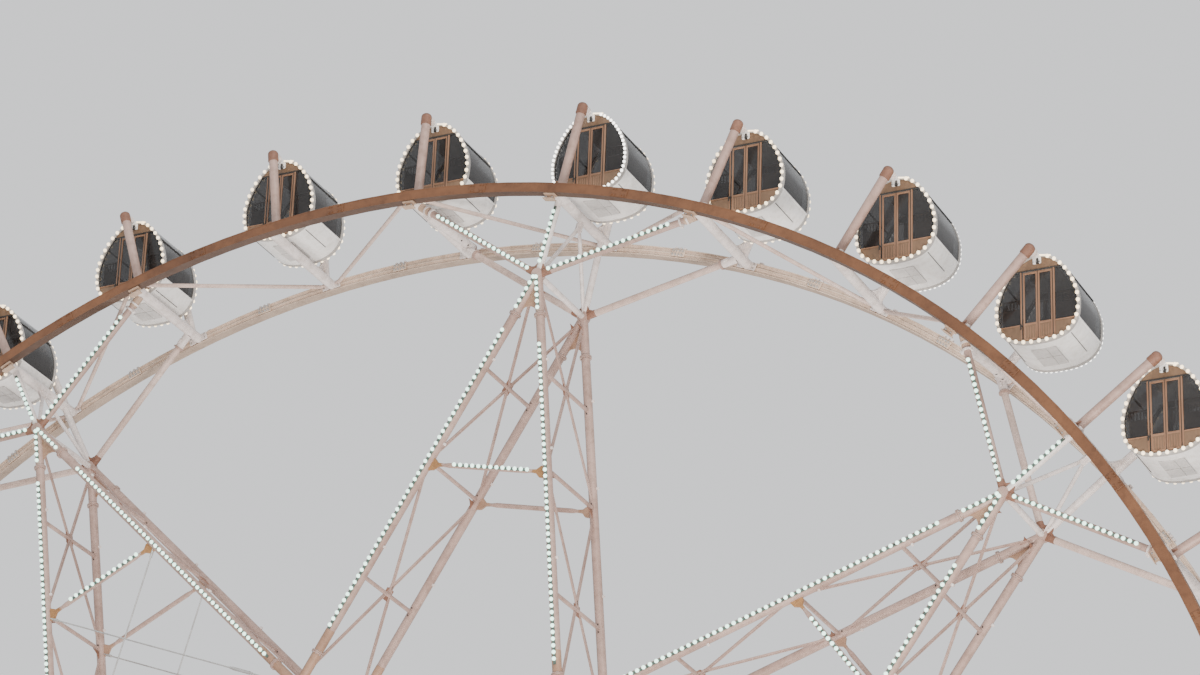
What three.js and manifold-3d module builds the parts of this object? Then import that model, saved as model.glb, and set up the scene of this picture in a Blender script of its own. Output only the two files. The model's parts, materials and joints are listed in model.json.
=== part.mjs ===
// A ferris wheel of 36 cabins, a scale model at 1:2 of a wheel about 55 m tall.
// X runs across the wheel, Y along its axle towards the rear, Z up.
// The origin is on the ground under the hub, and every length is in millimetres.
import * as THREE from "three";
import { mergeVertices } from "three/addons/utils/BufferGeometryUtils.js";
import Module from "manifold-3d";

const wasm = await Module();
wasm.setup();

// Wheel
const HUB_HEIGHT = 14750;
const PIVOT_RADIUS = 12500;
const SECTORS = 9;
const CABINS_PER_SECTOR = 4;
const CABIN_STEP = 10;
const SECTOR_STEP = CABIN_STEP * CABINS_PER_SECTOR;
const FIRST_SECTOR_ANGLE = 13;
const GAP = 0.3;

// Rims, yokes and their braces
const RIM_RADIUS = 11275;
const RIM_HEIGHT = 125;
const RIM_DEPTH = 125;
const RIM_Y = 852;
const RIM_CHORDS = 8;
const YOKE_RADIUS = 11290;
const YOKE_Y = 625;
const CROSS_TUBE_RADIUS = 62;
const ARM_TUBE_RADIUS = 56;
const ARM_HEAD_RISE = 55;
const BRACE_RADIUS = 26;

// Outer nodes and the legs between them and the inner nodes
const OUTER_NODE_RADIUS = 10250;
const OUTER_NODE_SIZE = 88;
const INNER_NODE_RADIUS = 5165;
const INNER_NODE_SIZE = 112;
const LEG_END_TO_NODE = 111.3;
const CABLE_END_TO_NODE = 97.8;
const NODE_HALF_LENGTH = 72;
const NODE_SIDES = 6;
const CHORD_RADIUS = 55;
const LINK_RADIUS = 43;
const LEG_BAR_RADIUS = 25;
const LEG_BARS = [0.25, 0.465, 0.74];
const TIE_AT = 0.465;
const TIE_RADIUS = 30;
const CABLE_RADIUS = 9;
const STAYED_EVERY = 3;

// Hub and axle
const HUB_RADIUS = 420;
const HUB_FLANGE_RADIUS = 640;
const HUB_FLANGE_THICKNESS = 140;
const HUB_SIDES = 12;
const HUB_SPOKE_RADIUS = 60;
const RING_TUBE_RADIUS = 42;
const AXLE_RADIUS = 200;
const AXLE_HALF_LENGTH = 1500;
const AXLE_SIDES = 16;

// Cabins, measured from the pivot they hang from
const CABIN_HALF_LENGTH = 400;
const CABIN_WALL = 22;
const CABIN_MID_Z = -530;
const CABIN_SIDE = [
  [100, 30],
  [335, -150],
  [468, -390],
  [500, -650],
  [440, -900],
  [250, -1072],
];
const DOOR_HALF_WIDTH = 185;
const DOOR_TOP = -175;
const DOOR_BOTTOM = -1040;
const PIN_RADIUS = 22;

// Supports
const LEG_TOP_Y = 1300;
const LEG_FOOT_X = 6000;
const LEG_FOOT_Y = 3300;
const LEG_TUBE_RADIUS = 230;
const LEG_TIE_AT = 0.52;
const LEG_TIE_RADIUS = 130;
const BEARING_RADIUS = 420;
const BEARING_HALF_LENGTH = 170;
const BEARING_CLEARANCE = 0.4;
const BASE_HEIGHT = 300;
const BASE_WIDTH = 420;

// Loading platform in front of the lowest cabins
const DECK_TOP = 1180;
const DECK_THICKNESS = 60;
const DECK_HALF_LENGTH = 3000;
const DECK_BACK_Y = -450;
const DECK_FRONT_Y = -2250;
const POST_SIZE = 100;
const SILL_HEIGHT = 100;
const STAIR_STEPS = 7;
const STAIR_WIDTH = 900;
const STAIR_GOING = 150;

const radians = THREE.MathUtils.degToRad;

// The surface of a three.js geometry as a closed solid.
function solid(geometry) {
  const bare = geometry.index ? geometry.toNonIndexed() : geometry.clone();
  bare.deleteAttribute("normal");
  bare.deleteAttribute("uv");
  const merged = mergeVertices(bare, 1e-3);
  return new wasm.Manifold(
    new wasm.Mesh({
      numProp: 3,
      vertProperties: new Float32Array(merged.attributes.position.array),
      triVerts: new Uint32Array(merged.index.array),
    }),
  );
}

function geometryOf(shape) {
  const mesh = shape.getMesh();
  const geometry = new THREE.BufferGeometry();
  geometry.setAttribute("position", new THREE.BufferAttribute(mesh.vertProperties, 3));
  geometry.setIndex(new THREE.BufferAttribute(mesh.triVerts, 1));
  return geometry;
}

function join(shapes) {
  return shapes.reduce((whole, shape) => whole.add(shape));
}

// A point of the wheel: its distance from the axle, its angle from the top and its place along Y.
function wheelPoint(radius, angle, y) {
  const turn = radians(angle);
  return new THREE.Vector3(radius * Math.sin(turn), y, HUB_HEIGHT + radius * Math.cos(turn));
}

const ALONG_Y = new THREE.Vector3(0, 1, 0);
const UPWARDS = new THREE.Vector3(0, 0, 1);

// A straight bar of a few sides from one point to another, with a flat side towards `flat`.
function bar(from, to, radius, sides, flat = ALONG_Y) {
  const along = to.clone().sub(from);
  const length = along.length();
  const geometry = new THREE.CylinderGeometry(radius, radius, length, sides);
  geometry.rotateY(Math.PI / sides);
  const up = along.normalize();
  const side = flat.clone().addScaledVector(up, -flat.dot(up)).normalize();
  const across = new THREE.Vector3().crossVectors(up, side);
  const frame = new THREE.Matrix4().makeBasis(across, up, side);
  frame.setPosition(from.clone().add(to).multiplyScalar(0.5));
  return solid(geometry.applyMatrix4(frame));
}

function box(low, high) {
  const size = [0, 1, 2].map((i) => high[i] - low[i]);
  const geometry = new THREE.BoxGeometry(...size);
  geometry.translate(...[0, 1, 2].map((i) => (high[i] + low[i]) / 2));
  return solid(geometry);
}

// A point on the line between two points, a given distance short of the second.
function shortOf(from, to, distance) {
  const back = from.clone().sub(to).normalize();
  return to.clone().addScaledVector(back, distance);
}

// One flat-sided curved beam of a rim, of straight chords, between two angles.
function rimBeam(fromAngle, toAngle, y) {
  const inner = RIM_RADIUS - RIM_HEIGHT / 2;
  const outer = RIM_RADIUS + RIM_HEIGHT / 2;
  const outline = [];
  for (let i = 0; i <= RIM_CHORDS; i++) {
    const turn = radians(fromAngle + ((toAngle - fromAngle) * i) / RIM_CHORDS);
    outline.push(new THREE.Vector2(inner * Math.sin(turn), inner * Math.cos(turn)));
  }
  for (let i = RIM_CHORDS; i >= 0; i--) {
    const turn = radians(fromAngle + ((toAngle - fromAngle) * i) / RIM_CHORDS);
    outline.push(new THREE.Vector2(outer * Math.sin(turn), outer * Math.cos(turn)));
  }
  const geometry = new THREE.ExtrudeGeometry(new THREE.Shape(outline), {
    depth: RIM_DEPTH,
    bevelEnabled: false,
  });
  geometry.rotateX(Math.PI / 2);
  geometry.translate(0, y + RIM_DEPTH / 2, HUB_HEIGHT);
  return solid(geometry);
}

// A radial arm that carries one end of a cabin's pivot.
function arm(angle, y) {
  const foot = wheelPoint(YOKE_RADIUS, angle, y);
  const top = wheelPoint(PIVOT_RADIUS + ARM_HEAD_RISE, angle, y);
  return bar(foot, top, ARM_TUBE_RADIUS, 6);
}

function yoke(angle) {
  const tube = bar(
    wheelPoint(YOKE_RADIUS, angle, -RIM_Y),
    wheelPoint(YOKE_RADIUS, angle, RIM_Y),
    CROSS_TUBE_RADIUS,
    6,
    wheelPoint(1, angle, 0).sub(wheelPoint(0, 0, 0)),
  );
  return join([tube, arm(angle, -YOKE_Y), arm(angle, YOKE_Y)]);
}

// The zigzag brace of one bay runs from one rim to the other.
function rimBrace(angle, fromY, endsShort) {
  const from = wheelPoint(YOKE_RADIUS, angle, fromY);
  const to = wheelPoint(YOKE_RADIUS, angle + CABIN_STEP, -fromY);
  const end = endsShort ? shortOf(from, to, CROSS_TUBE_RADIUS * 1.5) : to;
  return bar(from, end, BRACE_RADIUS, 4);
}

// Four bays of both rims, with the four yokes and the zigzag braces between them.
function rimSector(angle) {
  const gapAngle = THREE.MathUtils.radToDeg(GAP / RIM_RADIUS) / 2;
  const start = angle - 1.5 * CABIN_STEP;
  const end = start + SECTOR_STEP;
  const pieces = [-RIM_Y, RIM_Y].map((y) => rimBeam(start + gapAngle, end - gapAngle, y));
  for (let i = -1; i <= 2; i++) {
    const at = angle + i * CABIN_STEP;
    const startsInFront = i % 2 !== 0;
    pieces.push(yoke(at));
    pieces.push(rimBrace(at, startsInFront ? -YOKE_Y : YOKE_Y, i === 2));
  }
  return join(pieces);
}

// One of the two lattice legs that run in from an outer node pair, with its cross bars.
function latticeLeg(angle, side) {
  const outer = [-YOKE_Y, YOKE_Y].map((y) => wheelPoint(OUTER_NODE_RADIUS, angle, y));
  const inner = [-YOKE_Y, YOKE_Y].map((y) =>
    wheelPoint(INNER_NODE_RADIUS, angle + (side * SECTOR_STEP) / 2, y),
  );
  const at = (t, i) => outer[i].clone().lerp(inner[i], t);
  const pieces = [0, 1].map((i) =>
    bar(outer[i], shortOf(outer[i], inner[i], LEG_END_TO_NODE), CHORD_RADIUS, 6),
  );
  LEG_BARS.forEach((t) => pieces.push(bar(at(t, 0), at(t, 1), LEG_BAR_RADIUS, 4, UPWARDS)));
  return join(pieces);
}

// The tie bar between the two legs in one plane, and in a stayed frame the two cables that cross below it.
function tieAndCables(angle, y, isStayed) {
  const outer = wheelPoint(OUTER_NODE_RADIUS, angle, y);
  const inner = [-1, 1].map((s) => wheelPoint(INNER_NODE_RADIUS, angle + (s * SECTOR_STEP) / 2, y));
  const ends = inner.map((p) => outer.clone().lerp(p, TIE_AT));
  const tie = bar(ends[0], ends[1], TIE_RADIUS, 4);
  if (!isStayed) return tie;
  const cables = [0, 1].map((i) =>
    bar(ends[i], shortOf(ends[i], inner[1 - i], CABLE_END_TO_NODE), CABLE_RADIUS, 4),
  );
  return join([tie, ...cables]);
}

// The short tubes that fan out from an outer node pair to the rims and to the middle of the yoke.
function fan(angle) {
  const front = wheelPoint(OUTER_NODE_RADIUS, angle, -YOKE_Y);
  const rear = wheelPoint(OUTER_NODE_RADIUS, angle, YOKE_Y);
  const flat = CROSS_TUBE_RADIUS * Math.cos(Math.PI / 6);
  const under = YOKE_RADIUS - flat - GAP;
  const lugTop = wheelPoint(under, angle, 0);
  const lugFoot = wheelPoint(under - 90, angle, 0);
  const rimInside = RIM_RADIUS - RIM_HEIGHT / 2;
  const pieces = [
    bar(front, rear, CHORD_RADIUS, 6, UPWARDS),
    bar(lugFoot, lugTop, 60, 4),
    bar(front, lugFoot, LEG_BAR_RADIUS, 4),
    bar(rear, lugFoot, LEG_BAR_RADIUS, 4),
    bar(front, wheelPoint(rimInside - 16, angle, -RIM_Y), LINK_RADIUS, 6),
    bar(rear, wheelPoint(under - 4, angle, YOKE_Y - 75), LINK_RADIUS, 6),
  ];
  [-CABIN_STEP, CABIN_STEP].forEach((turn) => {
    const frontEnd = wheelPoint(rimInside - 50, angle + turn, -RIM_Y);
    const rearEnd = wheelPoint(YOKE_RADIUS, angle + turn, YOKE_Y - 75);
    pieces.push(bar(front, frontEnd, LINK_RADIUS, 6));
    pieces.push(bar(rear, shortOf(rear, rearEnd, CROSS_TUBE_RADIUS + 2), LINK_RADIUS, 6));
  });
  return join(pieces);
}

function nodeDrum(radius, angle, y, size, sides) {
  const sign = Math.sign(y);
  const low = wheelPoint(radius, angle, y - NODE_HALF_LENGTH * sign);
  const high = wheelPoint(radius, angle, y + NODE_HALF_LENGTH * sign);
  return bar(low, high, size, sides, wheelPoint(1, angle, 0).sub(wheelPoint(0, 0, 0)));
}

function spokeFrame(angle, isStayed) {
  return join([
    nodeDrum(OUTER_NODE_RADIUS, angle, -YOKE_Y, OUTER_NODE_SIZE, NODE_SIDES),
    nodeDrum(OUTER_NODE_RADIUS, angle, YOKE_Y, OUTER_NODE_SIZE, NODE_SIDES),
    fan(angle),
    latticeLeg(angle, -1),
    latticeLeg(angle, 1),
    tieAndCables(angle, -YOKE_Y, isStayed),
    tieAndCables(angle, YOKE_Y, isStayed),
  ]);
}

// A lattice spoke from the hub's flanges to one inner node pair, and the ring tubes to the next pair.
function hubSpoke(angle) {
  const start = HUB_FLANGE_RADIUS * 0.8;
  const at = (t, i) => {
    const y = i ? YOKE_Y : -YOKE_Y;
    return wheelPoint(start + (INNER_NODE_RADIUS - start) * t, angle, y);
  };
  const pieces = [];
  for (let i = 0; i < 2; i++) {
    const y = i ? YOKE_Y : -YOKE_Y;
    pieces.push(bar(at(0, i), at(1, i), HUB_SPOKE_RADIUS, 6));
    pieces.push(nodeDrum(INNER_NODE_RADIUS, angle, y, INNER_NODE_SIZE, NODE_SIDES));
    const next = wheelPoint(INNER_NODE_RADIUS, angle + SECTOR_STEP, y);
    pieces.push(bar(at(1, i), next, RING_TUBE_RADIUS, 4));
  }
  pieces.push(bar(at(1, 0), at(1, 1), CHORD_RADIUS, 6, UPWARDS));
  pieces.push(bar(at(0.5, 0), at(0.5, 1), LEG_BAR_RADIUS, 4, UPWARDS));
  return join(pieces);
}

function axleBar(halfLength, radius, sides, flat = UPWARDS) {
  return bar(wheelPoint(0, 0, -halfLength), wheelPoint(0, 0, halfLength), radius, sides, flat);
}

function hubFrame() {
  const pieces = [axleBar(AXLE_HALF_LENGTH, AXLE_RADIUS, AXLE_SIDES), axleBar(YOKE_Y, HUB_RADIUS, HUB_SIDES)];
  [-YOKE_Y, YOKE_Y].forEach((y) => {
    const half = HUB_FLANGE_THICKNESS / 2;
    const flange = bar(
      wheelPoint(0, 0, y - half),
      wheelPoint(0, 0, y + half),
      HUB_FLANGE_RADIUS,
      HUB_SIDES,
      UPWARDS,
    );
    pieces.push(flange);
  });
  for (let j = 0; j < SECTORS; j++) {
    pieces.push(hubSpoke(FIRST_SECTOR_ANGLE + (j + 0.5) * SECTOR_STEP));
  }
  return join(pieces);
}

// A prism along Y of an outline in X and Z, given by its right half from top to bottom.
function drum(half, scale, fromY, toY) {
  const right = half.map(([x, z]) => new THREE.Vector2(x * scale, CABIN_MID_Z + (z - CABIN_MID_Z) * scale));
  const left = right.map((p) => new THREE.Vector2(-p.x, p.y)).reverse();
  const geometry = new THREE.ExtrudeGeometry(new THREE.Shape([...right, ...left]), {
    depth: toY - fromY,
    bevelEnabled: false,
  });
  geometry.rotateX(Math.PI / 2);
  geometry.translate(0, toY, 0);
  return solid(geometry);
}

// A cabin about its own pivot: a hollow glazed drum with a doorway in front and a pivot pin at each end.
function cabinShell() {
  const half = CABIN_HALF_LENGTH;
  const shell = drum(CABIN_SIDE, 1, -half, half);
  const inside = drum(CABIN_SIDE, 1 - CABIN_WALL / CABIN_SIDE[3][0], -half + CABIN_WALL, half - CABIN_WALL);
  const door = box([-DOOR_HALF_WIDTH, -half - 10, DOOR_BOTTOM], [DOOR_HALF_WIDTH, -half + 60, DOOR_TOP]);
  const pins = [-1, 1].map((s) => {
    const root = new THREE.Vector3(0, s * (half - CABIN_WALL / 2), 0);
    const tip = new THREE.Vector3(0, s * cabinPinReach(), 0);
    return bar(root, tip, PIN_RADIUS, 4, UPWARDS);
  });
  return join([shell.subtract(inside).subtract(door), ...pins]);
}

function cabinPinReach() {
  return YOKE_Y - ARM_TUBE_RADIUS * Math.cos(Math.PI / 6) - GAP;
}

// Two legs from the bearing to the ground on one side of the wheel, with the tie between them.
function supportFrame(side) {
  const top = new THREE.Vector3(0, side * LEG_TOP_Y, HUB_HEIGHT);
  const feet = [-1, 1].map((s) => new THREE.Vector3(s * LEG_FOOT_X, side * LEG_FOOT_Y, BASE_HEIGHT + GAP));
  const pieces = feet.map((foot) => {
    const below = foot.clone().add(foot.clone().sub(top).normalize().multiplyScalar(400));
    const leg = bar(top, below, LEG_TUBE_RADIUS, 8);
    const ground = box([-9000, -9000, -2000], [9000, 9000, BASE_HEIGHT + GAP]);
    return leg.subtract(ground);
  });
  const tieEnds = feet.map((foot) => top.clone().lerp(foot, LEG_TIE_AT));
  pieces.push(bar(tieEnds[0], tieEnds[1], LEG_TIE_RADIUS, 6, UPWARDS));
  const bearing = [-1, 1].map((s) => new THREE.Vector3(0, side * LEG_TOP_Y + s * BEARING_HALF_LENGTH, HUB_HEIGHT));
  pieces.push(bar(bearing[0], bearing[1], BEARING_RADIUS, 12, UPWARDS));
  const apothem = AXLE_RADIUS + BEARING_CLEARANCE;
  const boreRadius = apothem / Math.cos(Math.PI / AXLE_SIDES);
  const halfSide = wheelPoint(1, 180 / AXLE_SIDES, 0).sub(wheelPoint(0, 0, 0));
  return join(pieces).subtract(axleBar(AXLE_HALF_LENGTH * 2, boreRadius, AXLE_SIDES, halfSide));
}

// The beams on the ground that join the four feet.
function baseFrame() {
  const half = BASE_WIDTH / 2;
  const pieces = [];
  [-1, 1].forEach((s) => {
    const x = s * LEG_FOOT_X;
    const y = s * LEG_FOOT_Y;
    pieces.push(box([x - half, -LEG_FOOT_Y - 2 * half, 0], [x + half, LEG_FOOT_Y + 2 * half, BASE_HEIGHT]));
    pieces.push(box([-LEG_FOOT_X, y - half, 0], [LEG_FOOT_X, y + half, BASE_HEIGHT]));
  });
  return join(pieces);
}

// A deck on posts in front of the lowest cabins, with a flight of steps at each end.
// Two sills tie it to the front base beam.
function loadingPlatform() {
  const pieces = [];
  const under = DECK_TOP - DECK_THICKNESS;
  pieces.push(box([-DECK_HALF_LENGTH, DECK_FRONT_Y, under], [DECK_HALF_LENGTH, DECK_BACK_Y, DECK_TOP]));
  for (let i = 0; i < 4; i++) {
    const x = -DECK_HALF_LENGTH + POST_SIZE / 2 + (i * (2 * DECK_HALF_LENGTH - POST_SIZE)) / 3;
    [DECK_FRONT_Y + POST_SIZE, DECK_BACK_Y - POST_SIZE].forEach((y) => {
      const half = POST_SIZE / 2;
      pieces.push(box([x - half, y - half, 0], [x + half, y + half, under + 10]));
    });
  }
  const sillEnd = -LEG_FOOT_Y + BASE_WIDTH / 2 + GAP;
  [-1, 1].forEach((s) => {
    const x = s * (DECK_HALF_LENGTH - POST_SIZE / 2);
    const half = POST_SIZE / 2;
    pieces.push(box([x - half, sillEnd, 0], [x + half, DECK_BACK_Y - POST_SIZE, SILL_HEIGHT]));
  });
  const rise = DECK_TOP / (STAIR_STEPS + 1);
  const stairY = DECK_FRONT_Y + STAIR_WIDTH;
  [-1, 1].forEach((s) => {
    for (let i = 0; i < STAIR_STEPS; i++) {
      const near = DECK_HALF_LENGTH + i * STAIR_GOING - (i ? 0 : 10);
      const far = DECK_HALF_LENGTH + (i + 1) * STAIR_GOING;
      const xs = [s * near, s * far].sort((a, b) => a - b);
      pieces.push(box([xs[0], DECK_FRONT_Y, 0], [xs[1], stairY, DECK_TOP - (i + 1) * rise]));
    }
  });
  return join(pieces);
}

const paint = (color, roughness, metalness) => new THREE.MeshStandardMaterial({ color, roughness, metalness });
const tubePaint = paint(0xd9cfc8, 0.5, 0.3);
const rimPaint = paint(0xc9b6a6, 0.5, 0.3);
const cabinPaint = paint(0xe9e7e4, 0.35, 0.1);
const supportPaint = paint(0xdedad4, 0.5, 0.3);
const basePaint = paint(0xb9b9b6, 0.6, 0.3);
const deckPaint = paint(0x8c8c8a, 0.7, 0.3);

const wheel = new THREE.Group();

function place(name, shape, material) {
  const mesh = new THREE.Mesh(geometryOf(shape), material);
  mesh.name = name;
  wheel.add(mesh);
  return mesh;
}

const two = (number) => String(number).padStart(2, "0");

for (let j = 0; j < SECTORS; j++) {
  const angle = FIRST_SECTOR_ANGLE + j * SECTOR_STEP;
  place(`rim_sector_${j + 1}`, rimSector(angle), rimPaint);
  place(`spoke_frame_${j + 1}`, spokeFrame(angle, j % STAYED_EVERY === STAYED_EVERY - 1), tubePaint);
}
place("hub_frame", hubFrame(), tubePaint);

const shell = cabinShell();
for (let k = 0; k < SECTORS * CABINS_PER_SECTOR; k++) {
  const cabin = place(`cabin_${two(k + 1)}`, shell, cabinPaint);
  cabin.position.copy(wheelPoint(PIVOT_RADIUS, FIRST_SECTOR_ANGLE + k * CABIN_STEP, 0));
}

place("front_support_frame", supportFrame(-1), supportPaint);
place("rear_support_frame", supportFrame(1), supportPaint);
place("base_frame", baseFrame(), basePaint);
place("loading_platform", loadingPlatform(), deckPaint);

export default wheel;
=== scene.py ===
# A ferris wheel of 36 cabins, a scale model at 1:2, in metres: X runs across the wheel,
# Y along its axle towards the rear and Z up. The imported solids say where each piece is.
import json
import math

import bmesh
import bpy
from mathutils import Matrix, Vector


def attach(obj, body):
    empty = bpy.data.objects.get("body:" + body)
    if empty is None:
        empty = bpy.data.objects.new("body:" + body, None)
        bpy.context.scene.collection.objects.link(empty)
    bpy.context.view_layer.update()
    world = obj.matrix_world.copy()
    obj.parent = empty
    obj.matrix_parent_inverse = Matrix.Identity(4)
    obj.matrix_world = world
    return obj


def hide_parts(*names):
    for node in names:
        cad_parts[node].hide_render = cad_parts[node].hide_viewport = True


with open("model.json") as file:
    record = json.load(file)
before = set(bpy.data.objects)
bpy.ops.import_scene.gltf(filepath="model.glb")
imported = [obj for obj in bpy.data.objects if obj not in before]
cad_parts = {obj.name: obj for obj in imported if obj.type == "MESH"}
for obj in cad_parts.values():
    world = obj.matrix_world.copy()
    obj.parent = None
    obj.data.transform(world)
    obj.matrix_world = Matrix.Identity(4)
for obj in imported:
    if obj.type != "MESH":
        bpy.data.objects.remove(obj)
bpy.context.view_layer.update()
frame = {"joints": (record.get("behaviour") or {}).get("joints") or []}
joints = {joint["name"]: joint for joint in frame["joints"]}


# Camera. It stands low on the ground, in front of the wheel and to its right, and looks up
# at the top of the wheel through a long lens, as the photograph does.
camera_place = (22.782, -40.161, 2.162)
camera_target = (4.011, -2.341, 22.809)
camera_roll = math.radians(2.06)
camera_lens = 125.14
camera_reach = 500


def put_in(name, data):
    """A new object in the scene."""
    made = bpy.data.objects.new(name, data)
    bpy.context.scene.collection.objects.link(made)
    return made


def facing(place, target):
    """The turn of a camera or a light that stands at a place and looks at a target."""
    return (Vector(target) - Vector(place)).to_track_quat("-Z", "Y").to_matrix()


camera_data = bpy.data.cameras.new("photo_camera")
camera_data.lens = camera_lens
camera_data.clip_end = camera_reach
camera = put_in("photo_camera", camera_data)
camera.location = camera_place
rolled = facing(camera_place, camera_target) @ Matrix.Rotation(camera_roll, 3, "Z")
camera.rotation_euler = rolled.to_euler()
bpy.context.scene.camera = camera


# Studio. A wide pale floor and pale surroundings, a soft high sun from the front right, and
# two broad soft lights that lie face up on the ground and reach the undersides.
floor_half = 400.0
floor_colour = (0.62, 0.61, 0.60, 1)
floor_roughness = 0.9
sky_colour = (0.90, 0.91, 0.93, 1)
sky_strength = 1.15


def plug(tree, node, **sockets):
    """Sets inputs of a node to plain values, or feeds them from other nodes' outputs."""
    for name, value in sockets.items():
        socket = node.inputs[name.replace("_", " ")]
        if isinstance(value, bpy.types.NodeSocket):
            tree.links.new(value, socket)
        else:
            socket.default_value = value
    return node


def new_finish(name, **sockets):
    """A new material, its node tree and its surface shader."""
    made = bpy.data.materials.new(name)
    made.use_nodes = True
    tree = made.node_tree
    return made, tree, plug(tree, tree.nodes["Principled BSDF"], **sockets)


def studio_light(name, kind, place, target, power, colour, size):
    data = bpy.data.lights.new(name, kind)
    data.energy = power
    data.color = colour
    if kind == "SUN":
        data.angle = size
    else:
        data.size = size
    light = put_in(name, data)
    light.location = place
    light.rotation_euler = facing(place, target).to_euler()
    light.visible_camera = False


floor_mesh = bmesh.new()
bmesh.ops.create_grid(floor_mesh, x_segments=1, y_segments=1, size=floor_half)
floor_data = bpy.data.meshes.new("studio_floor")
floor_mesh.to_mesh(floor_data)
floor_mesh.free()
floor_data.materials.append(
    new_finish("studio_floor", Base_Color=floor_colour, Roughness=floor_roughness)[0]
)
put_in("studio_floor", floor_data)

world = bpy.data.worlds.new("studio")
bpy.context.scene.world = world
world.use_nodes = True
sky = world.node_tree
plug(sky, sky.nodes["Background"], Color=sky_colour, Strength=sky_strength)

studio_light("key_sun", "SUN", (30, -34, 44), (0, 0, 14), 1.5, (1.0, 0.96, 0.9), math.radians(18))
studio_light("ground_flood", "AREA", (16, -20, 0.3), (16, -20, 9), 22000, (1.0, 0.93, 0.86), 14.0)
studio_light("rear_flood", "AREA", (-4, 16, 0.3), (-4, 16, 9), 5200, (1.0, 0.95, 0.9), 12.0)


# Rims. Two rings of steel channel bent to the wheel's curve in nine lengths. The front one
# stands with its back outwards, the rear one with its open side towards the front, and both
# are spliced with bolted plates midway between the cabins.
axle_middle = Vector(joints["wheel_turn"]["pos_m"])
rearward = Vector((0, 1, 0))
upward = Vector((0, 0, 1))
sideways = Vector((1, 0, 0))
sector_count = 9
cabin_step = math.radians(10)
sector_step = cabin_step * 4
sector_start = cabin_step * -1.5
first_angle = math.radians(13)
rim_radius = 11.275
rim_half = 0.0625
rim_y = 0.852
front_face_y = -rim_y - rim_half
rear_face_y = rim_y - rim_half
web_thickness = 0.010
flange_thickness = 0.013
face_recess = 0.018
rib_half_width = 0.009
steps_per_sector = 20
splice_length = 0.23
bolt_radius = 0.011
smooth_below = math.radians(34)
palette = []


def add_node(tree, kind, **sockets):
    return plug(tree, tree.nodes.new("ShaderNode" + kind), **sockets)


def tone_ramp(tree, pattern, colour, shade, low=0.0, high=1.0):
    """Turns a pattern into tones that run from one colour to another between two levels."""
    made = add_node(tree, "ValToRGB", Fac=pattern)
    first, last = made.color_ramp.elements
    first.position = low
    last.position = high
    first.color = (*colour, 1)
    last.color = (*shade, 1)
    return made.outputs["Color"]


def in_palette(finish):
    """Adds a finish to the palette, and returns its number there."""
    palette.append(finish)
    return len(palette) - 1


def weathered_paint(name, colour, shade, roughness=0.45, metallic=0.0, cloud=1.2, streak=1.0, grime=0.35):
    """Satin paint whose tone drifts over a metre or so, with patches of grime and a fine peel."""
    paint, tree, surface = new_finish(name, Metallic=metallic)
    place = add_node(tree, "TexCoord").outputs["Object"]
    place = add_node(tree, "Mapping", Scale=(1, 1, streak), Vector=place).outputs["Vector"]

    def noise(scale, detail, harshness):
        made = add_node(tree, "TexNoise", Scale=scale, Detail=detail, Roughness=harshness, Vector=place)
        return made.outputs["Fac"]

    clean = 1 - grime
    clouds = tone_ramp(tree, noise(cloud, 5, 0.6), colour, shade, 0.38, 0.66)
    grimy = (clean, clean * 0.97, clean * 0.92)
    patches = tone_ramp(tree, noise(cloud * 9, 8, 0.72), (1, 1, 1), grimy, 0.46, 0.74)
    blend = add_node(tree, "Mix")
    blend.data_type = "RGBA"
    blend.blend_type = "MULTIPLY"
    plug(tree, blend, Factor=1.0)
    tree.links.new(clouds, blend.inputs[6])
    tree.links.new(patches, blend.inputs[7])
    gloss = add_node(tree, "MapRange", To_Min=roughness - 0.08, To_Max=roughness + 0.2)
    plug(tree, gloss, Value=noise(cloud * 14, 4, 0.6))
    peel = add_node(tree, "Bump", Strength=0.18, Distance=0.002, Height=noise(160, 3, 0.5))
    plug(tree, surface, Base_Color=blend.outputs[2], Roughness=gloss.outputs["Result"])
    plug(tree, surface, Normal=peel.outputs["Normal"])
    return in_palette(paint)


copper_paint = weathered_paint(
    "copper_rim_paint", (0.170, 0.074, 0.033), (0.112, 0.047, 0.021), 0.45, 0.15, 0.9
)
cream_paint = weathered_paint("cream_rim_paint", (0.66, 0.52, 0.42), (0.55, 0.42, 0.33), 0.48)
# Darker copies of the rim paints, put on the rims' undersides as painted shade.
copper_painted_shade = weathered_paint(
    "copper_rim_painted_shade", (0.075, 0.036, 0.020), (0.055, 0.026, 0.015), 0.55
)
cream_painted_shade = weathered_paint(
    "cream_rim_painted_shade", (0.36, 0.27, 0.21), (0.29, 0.215, 0.165), 0.55
)
white_paint = weathered_paint("white_tube_paint", (0.72, 0.66, 0.64), (0.60, 0.53, 0.51), 0.42)
zinc_coat = weathered_paint(
    "zinc_bolts", (0.62, 0.61, 0.60), (0.48, 0.47, 0.46), 0.38, 0.85, 6.0
)


def wheel_point(radius, angle, y=0.0):
    """A point about the axle: its distance from it, its angle from the top, its place along Y."""
    return Vector((radius * math.sin(angle), y, radius * math.cos(angle)))


def dress(verts, paint):
    """Gives every face of the new points its paint."""
    for vert in verts:
        for face in vert.link_faces:
            face.material_index = paint


def standing(place, along, beside=rearward):
    """A frame at a point whose Z runs along one way and whose X lies as near `beside` as it can."""
    up = along.normalized()
    side = beside - up * beside.dot(up)
    if side.length < 1e-4:
        side = sideways - up * up.x
    side.normalize()
    turn = Matrix((side, up.cross(side), up)).transposed()
    return Matrix.Translation(place) @ turn.to_4x4()


def ease(mesh, verts, paint, round_off, flat=0.6):
    """Takes the sharp edges off a new shape."""
    edges = dict.fromkeys(edge for vert in verts for edge in vert.link_edges)
    sharp = [edge for edge in edges if edge.calc_face_angle(0) > flat]
    bmesh.ops.bevel(
        mesh, geom=sharp, offset=round_off, affect="EDGES", segments=1, profile=0.5, material=paint
    )


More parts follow.
